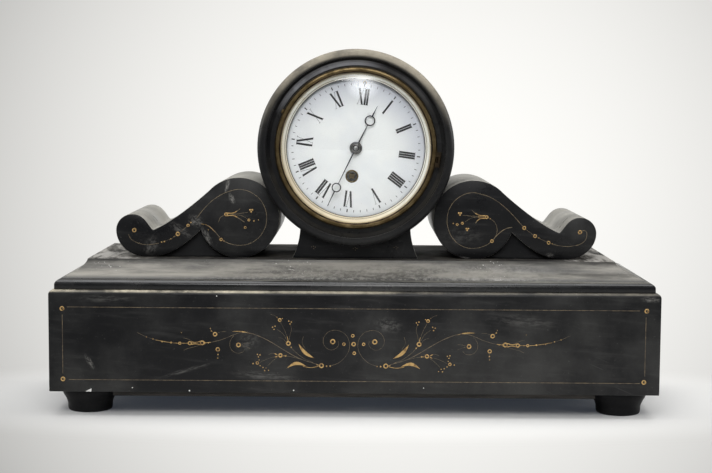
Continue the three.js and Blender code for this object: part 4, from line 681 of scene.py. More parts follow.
# %% Feet
foot_profile = [
    (0, 0), (18.6, 0), (19.4, 0.4), (19.9, 1.2), (20.2, 3.0), (20.3, 6.4), (20.8, 8.4), (21.6, 10.3), (22.6, 12.3),
    (23.6, 13.9), (24.4, 15.2), (24.9, 16.6), (25, 18.2), (25, 21.5), (24.6, 22), (0, 22),
]
foot_across, foot_along = 241.8, 53.25
foot = spun("turned_foot_front_left", foot_profile, (0, 0, 1), 64, (-foot_across, -foot_along, 0))
corners = {
    "turned_foot_front_right": (2 * foot_across, 0),
    "turned_foot_back_left": (0, 2 * foot_along),
    "turned_foot_back_right": (2 * foot_across, 2 * foot_along),
}
for name, (across, along) in corners.items():
    twin = copied(foot, name, (across, along, 0))
    laid(twin, "foot", name.replace("turned_", ""))
laid(foot, "foot", "foot_front_left")

# %% [markdown]
# ## The plinth
# The plinth is a hollow box of four sawn slabs. Its upper edge is rounded over, and that worn line catches the light:
# its pale cream is partly wear, partly a painted highlight.
# A slab could stay a plain box, but real stone has a worn arris: each edge gets a small rounding.
# A flake has broken from the lower edge beside the left foot, and shows the pale inside of the stone.

# %% Plinth slabs
half_width, half_depth = 272.5, 87.75
slab, arris, wear = 16.0, 4.0, 0.7
foot_top, wall_top, seam = 22.0, 113.3, 0.3
inner = half_width - slab


def chamfered(piece, test):
    """Rounds the upper edges that pass the test, and wears the others a little."""
    edit(piece)
    pick(piece, "EDGE", lambda p: p.z > wall_top - 0.1 and test(p))
    bpy.ops.mesh.bevel(offset=arris * mm, segments=6, affect="EDGES")
    leave_edit()
    return rounded(piece, wear)


front_slab = block("sawn_front_slab", (-half_width, -half_depth, foot_top), (half_width, slab - half_depth, wall_top))
chamfered(front_slab, lambda p: p.y < 0.1 - half_depth or abs(p.x) > half_width - 0.1)
chip_stone, tree, shader = new_finish("chipped_slate")
wire(shader, Base_Color=blend(grain(places(tree), 900), (0.80, 0.80, 0.78), (1.0, 1.0, 0.98)), Roughness=0.8)
clear_selection()
flake_place = at(-236.2, -half_depth - 0.6, foot_top + 0.8)
bpy.ops.mesh.primitive_cone_add(vertices=5, radius1=5.2 * mm, depth=12 * mm, location=flake_place)
flake = named("flake")
flake.scale = (0.8, 0.55, 1)
flake.rotation_euler = (0.12, 0.62, 0.1)
flake.data.materials.append(chip_stone)
front_slab.data.materials.append(slate["plain"])
carved(front_slab, flake, material_mode="TRANSFER")
laid(front_slab, "plain", "plinth_front_slab")

back_slab = block("sawn_back_slab", (-inner, half_depth - slab, foot_top), (inner, half_depth, wall_top))
laid(rounded(back_slab, wear), "side", "plinth_back_slab")
end_front = slab - half_depth + seam
left_slab = block("sawn_left_slab", (-half_width, end_front, foot_top), (-inner - seam, half_depth, wall_top))
chamfered(left_slab, lambda p: p.x < 0.1 - half_width)
right_slab = flipped(left_slab, "sawn_right_slab")
laid(left_slab, "side", "plinth_left_slab")
laid(right_slab, "side", "plinth_right_slab")

# %% [markdown]
# ## The moulded top slab
# One thick slab covers the plinth. Its front and ends are moulded: a plain fillet, a round roll, a long hollow slope
# and a crisp upper edge. The back is flat, because the clock stands against a wall.
# The top face of a box is extruded level by level and drawn in, about a middle that lies on the flat back.
# The slab was worked by eye: its upper edge lies a little to the left, so the right end slopes more gently.

# %% Top slab
flat_top, slab_inset = 138.8, 4.5
lean, end_extra = 3.4, 2.0
nose = [(0, 0), (0, 4.5), (0.35, 5.9), (1.2, 7.1), (2.6, 8.2), (4.3, 8.9), (5.6, 9.3)]
hollow = [(6.1, 9.55), (9, 11.4), (13, 13.3), (18.2, 15.7), (22.4, 18.8), (25.5, 22.2), (27, 25.5)]
nose_top = 9.45


def smooth_through(points, steps):
    """Catmull-Rom points through a chain."""
    padded = [points[0], *points, points[-1]]
    found = [points[0]]
    for a, b, c, d in zip(padded, padded[1:], padded[2:], padded[3:]):
        for i in range(1, steps + 1):
            t = i / steps
            found.append(
                tuple(
                    0.5 * (2 * q + (r - p) * t + (2 * p - 5 * q + 4 * r - s) * t**2 + (3 * q - p - 3 * r + s) * t**3)
                    for p, q, r, s in zip(a, b, c, d)
                )
            )
    return found


levels = [*nose, *smooth_through(hollow, 4)]
sizes = [(slab_inset + inwards, wall_top + lift) for inwards, lift in levels]
clear_selection()
first_inset = sizes[0][0]
bpy.ops.mesh.primitive_plane_add(size=1, location=at(0, first_inset / 2, wall_top))
top_slab = named("moulded_top_slab")
top_slab.scale = at(2 * (half_width - first_inset), 2 * half_depth - first_inset, 1000)
apply_place()
edit(top_slab)
for (inset, height), (next_inset, next_height) in zip(sizes, sizes[1:]):
    bpy.ops.mesh.extrude_region_move(TRANSFORM_OT_translate={"value": at(0, 0, next_height - height)})
    done, next_done = [(value - slab_inset) / hollow[-1][0] for value in (inset, next_inset)]
    shrink_x = (half_width - next_inset - end_extra * next_done) / (half_width - inset - end_extra * done)
    shrink_y = (2 * half_depth - next_inset) / (2 * half_depth - inset)
    back_middle = at(-lean * done, half_depth, next_height)
    bpy.ops.transform.resize(value=(shrink_x, shrink_y, 1), center_override=back_middle)
    bpy.ops.transform.translate(value=at(-lean * (next_done - done), 0, 0))
close_up(top_slab)
shaft_half, shaft_front, shaft_back = 26.0, -7.0, 25.0


def pendulum_shaft(low, high):
    return block("shaft_cutter", (-shaft_half, shaft_front, low), (shaft_half, shaft_back, high))


carved(top_slab, pendulum_shaft(wall_top - 5, flat_top + 5))
rounded(top_slab, 0.4, 2, 50)
tinted(
    top_slab, slate["moulding"],
    (slate["nose"], lambda p: p.z < wall_top + nose_top), (slate["flat"], lambda p: p.z > flat_top - 0.3),
)
laid(top_slab, "moulding", "top_moulding_slab")
print("moulding levels:", len(sizes))

# %% [markdown]
# ## The scrolls
# Each scroll is one S-shaped block sawn from a thick slab: a large volute that leans on the drum, an arm that dips,
# and a small raised head at the outer end. The faces are flat and the sides follow the curve.
# The outline is traced point by point along circle arcs and Bezier curves, then filled and given its depth.
# The other scroll is its mirror image. By eye and by age the pair is not quite even: the right one, with the web
# under it, stands a little further out and a little lower.

# %% Scrolls
drum_front, drum_back, scroll_back = -43.0, 76.0, 84.0
right_shift, right_height = 1.6, 0.985
volute_centre, volute_radius = (106.37, 175.3), 36.8
scroll_edge, scroll_reach, scroll_bed = 143.17, 218.9, 139.1
volute_leaves, volute_meets = 43.0, -17.8
web_front, web_back, tuck, bend_steps = -37.0, 78.0, 0.6, 14


def on_scroll(along, up):
    return (scroll_edge + along * (scroll_reach - scroll_edge), scroll_bed + up * 2 * volute_radius)


bends = [
    [(0.0216, 0.690), (0.3306, 0.428), (0.5485, 0.336)],
    [(0.6000, 0.352), (0.6400, 0.530), (0.8000, 0.530)],
    [(0.9100, 0.530), (1, 0.440), (1, 0.328)],
    [(1, 0.145), (0.8351, 0), (0.6508, 0)],
]
outline = [circle_point(volute_centre, volute_radius, volute_leaves)]
meets = circle_point(volute_centre, volute_radius, volute_meets)
for shares in bends:
    outline += cubic(outline[-1], *[on_scroll(*share) for share in shares], bend_steps)
head_foot = outline[-1]
arm_below = (on_scroll(0.40, 0), on_scroll(0.26, 0.06))
outline += cubic(head_foot, *arm_below, meets, bend_steps)
outline += arc(volute_centre, volute_radius, volute_meets, volute_leaves - 360, 84)[1:-1]
right_scroll = sawn("sawn_right_scroll", outline, drum_front, scroll_back)
carved(right_scroll, block("bed_cutter", (0, -90, scroll_bed - 5), (240, 120, scroll_bed)))
rounded(right_scroll, 0.6, 2, 40)
left_scroll = flipped(right_scroll, "sawn_left_scroll")
meeting = arc(volute_centre, volute_radius - tuck, -80, volute_meets, 12)
underside = [meets, *cubic(meets, *reversed(arm_below), head_foot, bend_steps)]
web_outline = [(meeting[0][0], flat_top), *meeting, *[(x, z + tuck) for x, z in underside]]
web_outline.append((underside[-1][0] + 2, flat_top))
right_web = sawn("sawn_right_web", web_outline, web_front, web_back)
left_web = flipped(right_web, "sawn_left_web")
take_up(right_scroll, right_web)
bpy.ops.transform.translate(value=at(right_shift, 0, 0))
bpy.ops.transform.resize(value=(1, 1, right_height), center_override=at(volute_centre[0], 0, flat_top))
for side, scroll, web in (("right", right_scroll, right_web), ("left", left_scroll, left_web)):
    laid(rounded(web, 0.3, 2, 50), "foot", side + "_scroll_web")
    laid(scroll, "scroll", side + "_scroll")

# %% [markdown]
# ## The drum and its cradle
# The movement sits in a hollow stone drum. The drum lies in a saddle whose sides are hollowed to a waist.
# A heavy ring is turned on the front of the drum: half-round outside, a narrow sunk line, then a flat that slopes
# gently to the opening. Turned pieces are spun from their profile; the saddle is sawn from an outline.

# %% Drum, ring and cradle
axis_height = 240.0
drum_centre, forward = (0, 0, axis_height), (0, 1, 0)
bore_radius, drum_radius = 72.4, 87.4
saddle_radius, cradle_half, cradle_waist = 87.7, 57.35, 50.35
ring_front, ring_round, ring_radius = -62.0, 7.0, 88.9

drum_profile = [
    (bore_radius, drum_front), (drum_radius, drum_front), (drum_radius, drum_back), (bore_radius, drum_back),
]
drum_shell = spun("turned_drum_shell", drum_profile, forward, 144, drum_centre)
carved(drum_shell, pendulum_shaft(axis_height - drum_radius - 5, axis_height - bore_radius + 4))
laid(rounded(drum_shell, 0.8, 3), "drum", "drum_shell")

ring_profile = [
    (71.5, drum_front), (71.5, -55.5), (72.0, -56), (77.3, -56), (79.2, -57.4), (80.6, -58.8), (80.9, -58.8),
    (80.9, -61.6), (81.3, ring_front),
]
ring_profile += arc((ring_radius - ring_round, ring_front + ring_round), ring_round, -90, 0, 16)
ring_profile.append((ring_radius, drum_front))
front_ring = spun("turned_front_ring", ring_profile, forward, 144, drum_centre)
laid(front_ring, "drum", "drum_front_ring", smooth=26)


def bent(start, control, end, steps):
    """A curve with one control point."""
    pull = [tuple(a + (c - a) * 2 / 3 for a, c in zip(point, control)) for point in (start, end)]
    return cubic(start, *pull, end, steps)


horn = math.degrees(math.acos(cradle_waist / saddle_radius))
horn_height = axis_height - math.sqrt(saddle_radius**2 - cradle_waist**2)
waist_middle = (flat_top + horn_height) / 2
cradle_outline = [(-cradle_half, flat_top), (cradle_half, flat_top)]
cradle_outline += bent((cradle_half, flat_top), (cradle_waist, waist_middle), (cradle_waist, horn_height), 12)
cradle_outline += arc((0, axis_height), saddle_radius, -horn, horn - 180, 40)[1:]
cradle_outline += bent((-cradle_waist, horn_height), (-cradle_waist, waist_middle), (-cradle_half, flat_top), 12)[:-1]
cradle = sawn("sawn_drum_cradle", cradle_outline, drum_front, drum_back)
carved(cradle, pendulum_shaft(flat_top - 5, axis_height))
laid(rounded(cradle, 0.5, 2, 40), "scroll", "drum_cradle")

# %% [markdown]
# ## Metals of the clock
# Old brass is never one colour: the open faces stay yellow, and brown tarnish creeps in from the edges and hollows.
# Each metal below mixes two tones by a soft noise, and a fine grain of scratches roughens it.
# Blued steel is a thin oxide film, dark and a little purple; bare steel is grey with small rust freckles.


# %% Metal finishes
def metal_finish(name, bright, tarnish, low, high, rough, cloud, speck=None):
    """Two tones mixed by a noise between low and high, with a grain of small scratches."""
    finish, tree, shader = new_finish(name)
    spot = places(tree)
    patches = between(grain(spot, cloud, 6), low, high)
    colour = blend(patches, bright, tarnish)
    if speck:
        colour = stained(colour, speck, between(grain(spot, 900, 3), 0.62, 0.7))
    wire(shader, Base_Color=colour, Metallic=1.0, Roughness=between(patches, 0, 1, rough, rough + 0.2))
    dent(shader, grain(places(tree, (1, 6, 1)), 1400, 3), 0.00002, 0.5)
    return finish


movement_brass = metal_finish("movement_brass", (0.62, 0.43, 0.17), (0.36, 0.23, 0.09), 0.45, 0.75, 0.28, 60)
bezel_bronze = metal_finish("bezel_bronze", (0.20, 0.148, 0.075), (0.085, 0.06, 0.028), 0.36, 0.66, 0.32, 90)
dark_bronze = metal_finish("dark_bronze", (0.07, 0.05, 0.03), (0.02, 0.016, 0.012), 0.4, 0.7, 0.45, 120)
door_brass = metal_finish("door_brass", (0.50, 0.35, 0.14), (0.25, 0.16, 0.07), 0.4, 0.68, 0.33, 35)
blued_steel = metal_finish("blued_steel", (0.028, 0.03, 0.045), (0.05, 0.035, 0.03), 0.4, 0.7, 0.32, 160)
hub_steel = metal_finish("hub_steel", (0.30, 0.295, 0.285), (0.17, 0.165, 0.155), 0.4, 0.7, 0.34, 300)
spring_blue = metal_finish("spring_blue", (0.05, 0.075, 0.2), (0.12, 0.08, 0.12), 0.4, 0.7, 0.25, 160)
bare_steel = metal_finish(
    "bare_steel", (0.42, 0.42, 0.43), (0.22, 0.21, 0.21), 0.45, 0.7, 0.3, 120, speck=(0.2, 0.1, 0.05)
)


def rising_right(tree):
    """A measure in metres that grows upwards and, half as fast, to the right."""
    where = axes(places(tree))
    return plus(where["Z"], times(where["X"], 0.5))


def sight_finish():
    """Thin gilding: rubbed to silver, golden below, with a brown line round the middle, a brown outer edge, and a
    painted shadow along its inner edge by the dial.
    """
    finish, tree, shader = new_finish("sight_gold")
    radius = from_axis(tree, axis_height)
    rubbed = between(grain(places(tree), 45, 6), 0.5, 0.8, 0.0, 0.6)
    tone = blend(rubbed, (1.0, 0.98, 0.91), (0.70, 0.58, 0.38))
    tone = stained(tone, (0.66, 0.52, 0.31), between(rising_right(tree), 0.17, 0.25, 0.75, 0.0))
    line = times(between(radius, 0.0634, 0.0637), between(radius, 0.0640, 0.0643, 1.0, 0.0))
    tone = stained(tone, (0.22, 0.16, 0.09), line, 0.8)
    tone = stained(tone, (0.40, 0.29, 0.15), between(radius, 0.0658, 0.0669, 0.0, 0.8))
    # painted shadow: a dark line on the innermost edge, where the ring meets the dial
    tone = stained(tone, (0.10, 0.08, 0.06), between(radius, 0.0625, 0.0629, 1.0, 0.0))
    wire(shader, Base_Color=tone, Metallic=0.3, Roughness=0.36)
    dent(shader, grain(places(tree, (1, 6, 1)), 1400, 3), 0.00002, 0.5)
    return finish


sight_gold = sight_finish()
print("metals ready")

# %% [markdown]
# ## Glass and enamel
# The bezel glass is thick and domed. A pure glass shader would block the lamps and leave the dial in shadow,
# so lamp light passes through a transparent shader, and only the camera and mirrors see real glass.
# The dial is white vitreous enamel on copper: glossy, faintly blue, with tiny brown pits; a grey-blue painted shade
# darkens it towards its upper right edge.


# %% Glass and enamel finishes
def clear_glass(name):
    finish, tree, shader = new_finish(name)
    smears = grain(places(tree, (1, 1, 2.5), (0, 30, 0)), 40, 5)
    wire(shader, Base_Color=(0.98, 1.0, 0.99), Transmission_Weight=1.0, IOR=1.45)
    wire(shader, Roughness=between(smears, 0.5, 0.8, 0.0, 0.05))
    clear = add_node(tree, "ShaderNodeBsdfTransparent")
    rays = add_node(tree, "ShaderNodeLightPath").outputs
    show_either(rays["Is Shadow Ray"], shader.outputs["BSDF"], clear.outputs["BSDF"])
    return finish


def enamel_finish():
    finish, tree, shader = new_finish("white_enamel")
    spot = places(tree)
    clouds = grain(spot, 28, 3)
    tone = blend(between(clouds, 0.35, 0.65), (0.86, 0.87, 0.895), (0.93, 0.93, 0.93))
    # painted shade: grey-blue towards the rim, strongest at the upper right
    upper = between(rising_right(tree), 0.20, 0.31, 0.25, 1.0)
    tone = stained(tone, (0.60, 0.61, 0.68), between(from_axis(tree, axis_height), 0.026, 0.064), upper)
    tone = stained(tone, (0.35, 0.27, 0.2), between(grain(spot, 1500, 2), 0.71, 0.76), 0.6)
    wire(shader, Base_Color=tone, Roughness=0.22, Coat_Weight=0.5, Coat_Roughness=0.06)
    dent(shader, clouds, 0.0003, 0.3)
    return finish


pane_glass = clear_glass("pane_glass")
white_enamel = enamel_finish()
print("glass and enamel ready")

# %% [markdown]
# ## Dial and bezel
# The whole movement has slipped round in its case by 7.6 degrees, so XII no longer stands upright.
# Dial, bezel and hands are made upright about the dial's centre, then turned and lifted together to the drum's axis.
# The bezel is a half-round brass rim on a hinge at its right. A gilt ring slopes from it down to the dial.

# %% Dial and bezel
slip = math.radians(7.6)
hinge_x, hinge_y, knuckle_radius = 75.6, -60.55, 1.4
bezel_back, bezel_front, crown, half_rim = -57.65, -62.95, 70.3, 2.7


def slipped(piece):
    take_up(piece)
    piece.rotation_euler = (0, slip, 0)
    piece.location = at(*drum_centre)
    return piece


rim_profile = [(69.6, bezel_back), (72.7, bezel_back), (73.0, -58.0)]
for way, shoulder, steps in ((1, -58.6, range(0, 91, 10)), (-1, -61.4, range(80, -1, -20))):
    for angle in map(math.radians, steps):
        place = shoulder + (bezel_front - shoulder) * math.sin(angle)
        rim_profile.append((crown + way * half_rim * math.cos(angle), place))
rim_profile += [(67.6, -60.75), (69.6, -60.75)]
bezel = spun("brass_bezel", rim_profile, forward, 144)
knuckles = []
for low, high in ((-7, -2.675), (2.675, 7)):
    knuckle = rod("knuckle", knuckle_radius, (hinge_x, hinge_y, low), (hinge_x, hinge_y, high))
    reach = block("reach", (72.3, hinge_y - knuckle_radius, low), (hinge_x, hinge_y, high))
    knuckles.append(rounded(welded(knuckle, reach), 0.2, 2))
tab_radius, tab_angle = 73.2, 161.3
tab = block("thumb_tab", (-1.5, -59.05, -2.5), (1.5, bezel_back, 2.5))
edit(tab)
pick(tab, "FACE", lambda p: p.x > 1.4)
bpy.ops.transform.resize(value=(1, 0.6, 0.7))
leave_edit()
rounded(tab, 0.4, 3)
tab_x, tab_z = circle_point((0, 0), tab_radius, tab_angle)
tab.location = at(tab_x, 0, tab_z)
tab.rotation_euler = (0, -math.radians(tab_angle), 0)
apply_place()
welded(bezel, tab, *knuckles)
carved(bezel, rod("pin_bore", 0.75, (hinge_x, hinge_y, -9), (hinge_x, hinge_y, 9)))
# the faces inside the crown, towards the glass, get the dark finish as painted shadow of the bezel's inner edge
tinted(bezel, bezel_bronze, (dark_bronze, lambda p: math.hypot(p.x, p.z) < 69.2 or p.x > 73.4))
settled(slipped(bezel), "bezel_door", bezel_bronze, "tarnished_brass", "bezel")

sight_profile = [
    (69.3, -58.65), (67.6, -58.65), (66.9, -58.55), (65.6, -57.6), (63.9, -55.8), (62.6, -54.55), (62.15, -54.05),
    (62.5, -53.7), (63.0, -54.0), (64.6, -55.6), (66.4, -57.1), (68.1, -57.85), (69.3, -57.85),
]
sight = spun("gilt_sight_ring", sight_profile, forward, 144)
# the inner lip next to the dial gets the dark finish as painted shadow
tinted(sight, sight_gold, (dark_bronze, lambda p: math.hypot(p.x, p.z) < 62.4))
settled(slipped(sight), "bezel_door", sight_gold, "sight_gilt", "sight_ring")

glass_radius, dome_edge, dome_rise, pane, pane_front = 69.3, 66.5, 7.5, 1.8, -60.6
sphere = (dome_edge**2 + dome_rise**2) / (2 * dome_rise)
dome = []
for step in range(25):
    radius = dome_edge * step / 24
    dome.append((radius, pane_front - dome_rise + sphere - math.sqrt(sphere**2 - radius**2)))
glass_profile = [*dome, (glass_radius, pane_front), (glass_radius, pane_front + pane)]
glass_profile += [(radius, place + pane) for radius, place in reversed(dome)]
glass = spun("domed_glass", glass_profile, forward, 96)
settled(slipped(glass), "bezel_door", pane_glass, "glass", "bezel_glass", smooth=40)

dial_face, dial_back, dial_camber = -50.75, -49.15, 0.25
dial_profile = [(r, dial_face - dial_camber * (1 - (r / 60) ** 2)) for r in (0, 15, 30, 45, 55, 60)]
dial_profile += [(62.4, dial_face + 0.12), (63.2, dial_face + 0.4), (63.5, -50.2), (63.5, dial_back), (0, dial_back)]
dial = spun("enamel_dial_plate", dial_profile, forward, 96)
winding_drop = 25.8
for name, radius, height, sides in (
    ("centre_hole", 4.2, 0, 48), ("winding_hole", 5.9, -winding_drop, 48), ("regulator_hole", 1.8, 59.5, 32),
):
    carved(dial, rod(name, radius, (0, -60, height), (0, -40, height), sides))
settled(slipped(rounded(dial, 0.3, 3, 50)), "case", white_enamel, "enamel", "enamel_dial", smooth=30)

bush_profile = [(4.5, -50.9), (4.9, -51.15), (5.4, -51.15), (5.85, -50.8), (5.85, -49.2), (4.5, -49.2)]
bush = spun("winding_bush", bush_profile, forward, 48, (0, 0, -winding_drop))
settled(slipped(bush), "case", bezel_bronze, "tarnished_brass")

# %% [markdown]
# ## The hands
# A hand is filed from sheet steel: a hub, a thin tapering shank, an open ring and a fine tip.
# The parts are modelled one by one and joined with boolean unions, and a tiny bevel gives the filed edge.

# %% Hands
hand_ring, hand_thick, ring_gap = 1.0, 0.7, 0.5


def sheet(name, foot_half, foot, head_half, head, front):
    """An upright strip of sheet steel that tapers from its foot to its head."""
    corners = [(-foot_half, foot), (foot_half, foot), (head_half, head), (-head_half, head)]
    return sawn(name, corners, front, front + hand_thick)


def open_hand(name, long, ring_at, ring_radius, hub_radius, bore, front, degrees):
    inner = ring_radius - hand_ring
    back = front + hand_thick
    hub_profile = [(bore, front), (hub_radius - 0.6, front), (hub_radius, front + 0.3)]
    hub = spun("hub", [*hub_profile, (hub_radius, back), (bore, back)], forward, 48)
    ring_profile = [(inner, front + 0.15), (inner + 0.3, front), (ring_radius - 0.3, front)]
    ring_profile += [(ring_radius, front + 0.15), (ring_radius, back), (inner, back)]
    ring = spun("ring", ring_profile, forward, 48, (0, 0, ring_at))
    start = math.sqrt(hub_radius**2 - 1) - 0.3
    shank = sheet("shank", 0.65, start, 0.3, ring_at - inner - ring_gap, front)
    tip = sheet("tip", 0.6, ring_at + inner + ring_gap, 0.14, long, front)
    hand = welded(hub, ring, shank, tip)
    hand.name = hand.data.name = name
    hand.rotation_euler = (0, math.radians(degrees), 0)
    apply_place()
    slipped(rounded(hand, 0.1, 2, 50))
    apply_place()
    return hand


hour = open_hand("filed_hour_hand", 42.4, 27.7, 4.8, 5.6, 3.65, -53.45, 19.4)
minute = open_hand("filed_minute_hand", 58.0, 39.6, 4.3, 4.4, 2.75, -55.85, 198.3)
tinted(hour, blued_steel, (hub_steel, lambda p: math.hypot(p.x, p.z - axis_height) < 5.1))
tinted(minute, blued_steel, (hub_steel, lambda p: math.hypot(p.x, p.z - axis_height) < 4.0))
settled(hour, "hour_hand_work", blued_steel, "blued_steel", "hour_hand")
settled(minute, "minute_hand_work", blued_steel, "blued_steel", "minute_hand")

collet_profile = [
    (0, -58.30), (0.9, -58.25), (1.5, -58.0), (2.1, -57.5), (2.6, -57.3), (3.0, -57.0), (3.0, -56.3), (2.8, -56.1),
    (1.6, -56.1), (1.6, -57.4), (0, -57.4),
]
collet = spun("domed_hand_collet", collet_profile, forward, 48)
tinted(collet, bare_steel, (blued_steel, lambda p: 1.8 < math.hypot(p.x, p.z) < 2.95))
settled(slipped(collet), "minute_hand_work", bare_steel, "steel", "hand_collet")

# %% [markdown]
# ## The back of the drum
# A flat brass frame closes the drum behind and holds a hinged door with a small turned knob.
# The door is pressed from thin sheet: slightly dished, with a rolled rim and two raised rings.

# %% Rear frame and door
rear_hinge_x, rear_hinge_y, ear = 62.4, 80.5, 3.0
pin_half, sleeve_half, eye_radius = 9.0, 5.65, 1.4
screw_places = (-68, 68)
leaf_front, leaf_back, leaf_edge, leaf_bulge = 79.5, 78.1, 57.4, 2.2


def on_hinge(name, radius, low, high):
    return rod(name, radius, (rear_hinge_x, rear_hinge_y, low), (rear_hinge_x, rear_hinge_y, high))


frame_profile = [(58.3, 76), (78.7, 76), (79, 76.4), (79, 77.5), (78.7, 77.8), (60.6, 77.8), (58, 77.5), (58, 76.3)]
rear_frame = spun("rear_brass_frame", frame_profile, forward, 120)
spigot_profile = [(69.9, 71), (71.9, 71), (71.9, 76.9), (69.9, 76.9)]
welded(rear_frame, spun("spigot", spigot_profile, forward, 96))
carved(rear_frame, *[rod("screw_hole", 1.9, (x, 70, 0), (x, 82, 0)) for x in screw_places])
for low, high in ((-pin_half, ear - pin_half), (pin_half - ear, pin_half)):
    post = block("post", (rear_hinge_x - eye_radius, 76.9, low), (rear_hinge_x + eye_radius, rear_hinge_y, high))
    welded(rear_frame, welded(post, on_hinge("round_end", eye_radius, low, high)))
welded(rear_frame, on_hinge("pin", 0.7, -pin_half, pin_half))
settled(slipped(rear_frame), "case", door_brass, "brass", "rear_frame")


def dished(radius, depth=leaf_front):
    """A point of the door's profile, which bulges towards its middle."""
    return (radius, depth + leaf_bulge * (1 - (radius / leaf_edge) ** 2))


door_profile = [dished(radius) for radius in range(0, 45, 4)]
for radius in (46, 48.5):
    level = dished(radius)[1]
    door_profile += [(radius - 0.8, level), (radius, level + 0.4), (radius + 0.8, level)]
door_profile += [dished(52), dished(56), (leaf_edge, leaf_front)]
door_profile += [(59.6, 79.7), (60.4, 79.2), (60.4, 78.4), (60, leaf_back)]
door_profile += [dished(radius, leaf_back) for radius in (57, 48, 36, 24, 12, 0)]
rear_door = spun("rear_brass_door", door_profile, forward, 120)
arm = block("arm", (leaf_edge, leaf_back, -sleeve_half), (rear_hinge_x, leaf_front, sleeve_half))
sleeve = on_hinge("sleeve", eye_radius, -sleeve_half, sleeve_half)
knob_profile = [
    (0, 78.8), (1.5, 78.8), (1.5, 81.4), (1.7, 81.8), (2.7, 82.1), (3, 82.6), (2.8, 83.1), (2, 83.4), (0, 83.5),
]
knob = spun("knob", knob_profile, forward, 32, (-50, 0, 0))
welded(rear_door, arm, sleeve, knob)
carved(rear_door, on_hinge("pin_bore", 0.98, -pin_half, pin_half))
settled(slipped(rear_door), "rear_door_leaf", door_brass, "brass", "rear_door", smooth=26)

# %% [markdown]
# ## Parts that keep their CAD shape
# The movement, its plates and wheels, and the board under the plinth already have the right shape.
# Each of them only needs a real finish, chosen by the name of the part.
# A CAD mesh is never changed, so its material slots are simply filled anew.

# %% Finishes for the CAD parts
old_board, tree, shader = new_finish("blackened_board")
streaks = grain(places(tree, (1, 14, 14)), 30, 6)
board_tone = blend(between(streaks, 0.35, 0.65), (0.050, 0.045, 0.040), (0.020, 0.018, 0.016))
wire(shader, Base_Color=board_tone, Roughness=0.75)
dent(shader, streaks, 0.0004)
kept = {
    old_board: ["base_board"],
    dark_bronze: ["bezel_frame", "bezel_hinge_pin", "dial_plate"],
    blued_steel: ["regulator_arbor"],
    bezel_bronze: ["winding_arbor"],
    spring_blue: ["mainspring", "click_spring"],
    bare_steel: [
        "cannon_pinion", "ratchet_wheel", "click", "anchor", "crutch", "suspension_spring",
        "pendulum_rod", "case_screw_left", "case_screw_right",
    ],
}
finish_of = {name: finish for finish, names in kept.items() for name in names}
for name, node in nodes.items():
    for material_slot in node.material_slots:
        material_slot.material = finish_of.get(name, movement_brass)
print(len(finish_of), "nodes named, the rest in", movement_brass.name)

# %% [markdown]
# ## Printing the dial
# The numerals and the minute track are fired black paint. Here they stand up to a quarter of a millimetre proud,
# so that the slight dome of the enamel never swallows them.
# A texture could carry them, but thin raised shapes stay sharp at any distance.
# Every numeral is built from three kinds of stroke, as an engraver draws it: thick, hairline and serif.
# Marks are modelled once and spun round the dial; each numeral is turned so that its foot is nearest the centre.

# %% Minute track and numerals
print_front, print_back = -51.02, -50.7
numeral_foot, numeral_top = 39.4, 53.8
thick_half, hair_half, serif_thick = 0.86, 0.14, 0.24


def bar(name, half_wide, low, high, centre=0.0):
    """An upright block of paint above the dial's centre."""
    return block(name, (centre - half_wide, print_front, low), (centre + half_wide, print_back, high))


def around(piece, steps):
    """Softens a mark's edges and repeats it round the whole dial."""
    edit(rounded(piece, 0.05, 1))
    bpy.ops.mesh.spin(steps=steps, dupli=True, angle=2 * math.pi, center=(0, 0, 0), axis=forward)
    select_all()
    bpy.ops.mesh.remove_doubles(threshold=1e-6)
    leave_edit()
    return piece


def stroke(half_wide, foot, head):
    """A stroke from a foot to a head, with ends cut level."""
    low, high = numeral_foot + serif_thick / 2, numeral_top - serif_thick / 2
    corners = [(foot - half_wide, low), (foot + half_wide, low), (head + half_wide, high), (head - half_wide, high)]
    return sawn("stroke", corners, print_front, print_back)


def serif(centre, half_wide, height):
    return bar("serif", half_wide, height - serif_thick / 2, height + serif_thick / 2, centre)


# each letter: its width, strokes as (half width, foot, head) and serifs as (middle, half width, height)
letters = {
    "I": (2.1, [(thick_half, 0, 0)], [(0, 1.35, numeral_foot), (0, 1.35, numeral_top)]),
    "V": (
        6.0,
        [(thick_half, 0.35, -2.0), (hair_half, 0.35, 2.2)],
        [(-2.0, 1.3, numeral_top), (2.2, 0.9, numeral_top), (0.35, 0.55, numeral_foot)],
    ),
    "X": (
        6.4,
        [(thick_half, 2.0, -2.0), (hair_half, -2.0, 2.0)],
        [(-2.0, 1.3, numeral_top), (2.0, 0.9, numeral_top), (2.0, 1.3, numeral_foot), (-2.0, 0.9, numeral_foot)],
    ),
}
printed = [around(bar("minute_marks", 0.25, 56.3, 58.3), 60), around(bar("hour_marks", 0.5, 55.7, 58.6), 12)]
for number, text in enumerate(["XII", "I", "II", "III", "IIII", "V", "VI", "VII", "VIII", "IX", "X", "XI"]):
    left = -sum(letters[kind][0] for kind in text) / 2
    pieces = []
    for kind in text:
        wide, strokes, serifs = letters[kind]
        centre = left + wide / 2
        pieces += [stroke(half_wide, centre + foot, centre + head) for half_wide, foot, head in strokes]
        pieces += [serif(centre + aside, half_wide, height) for aside, half_wide, height in serifs]
        left += wide
    numeral = gathered("numeral_" + text, pieces)
    numeral.rotation_euler = (0, math.radians(30 * number), 0)
    apply_place()
    printed.append(numeral)
dial_print = gathered("painted_dial_print", printed)
print("dial print:", len(dial_print.data.polygons), "faces")

# %% [markdown]
# ## Dial paint
# Fired black is not a perfect black: it is thinner at the edges and has worn a little with cleaning.

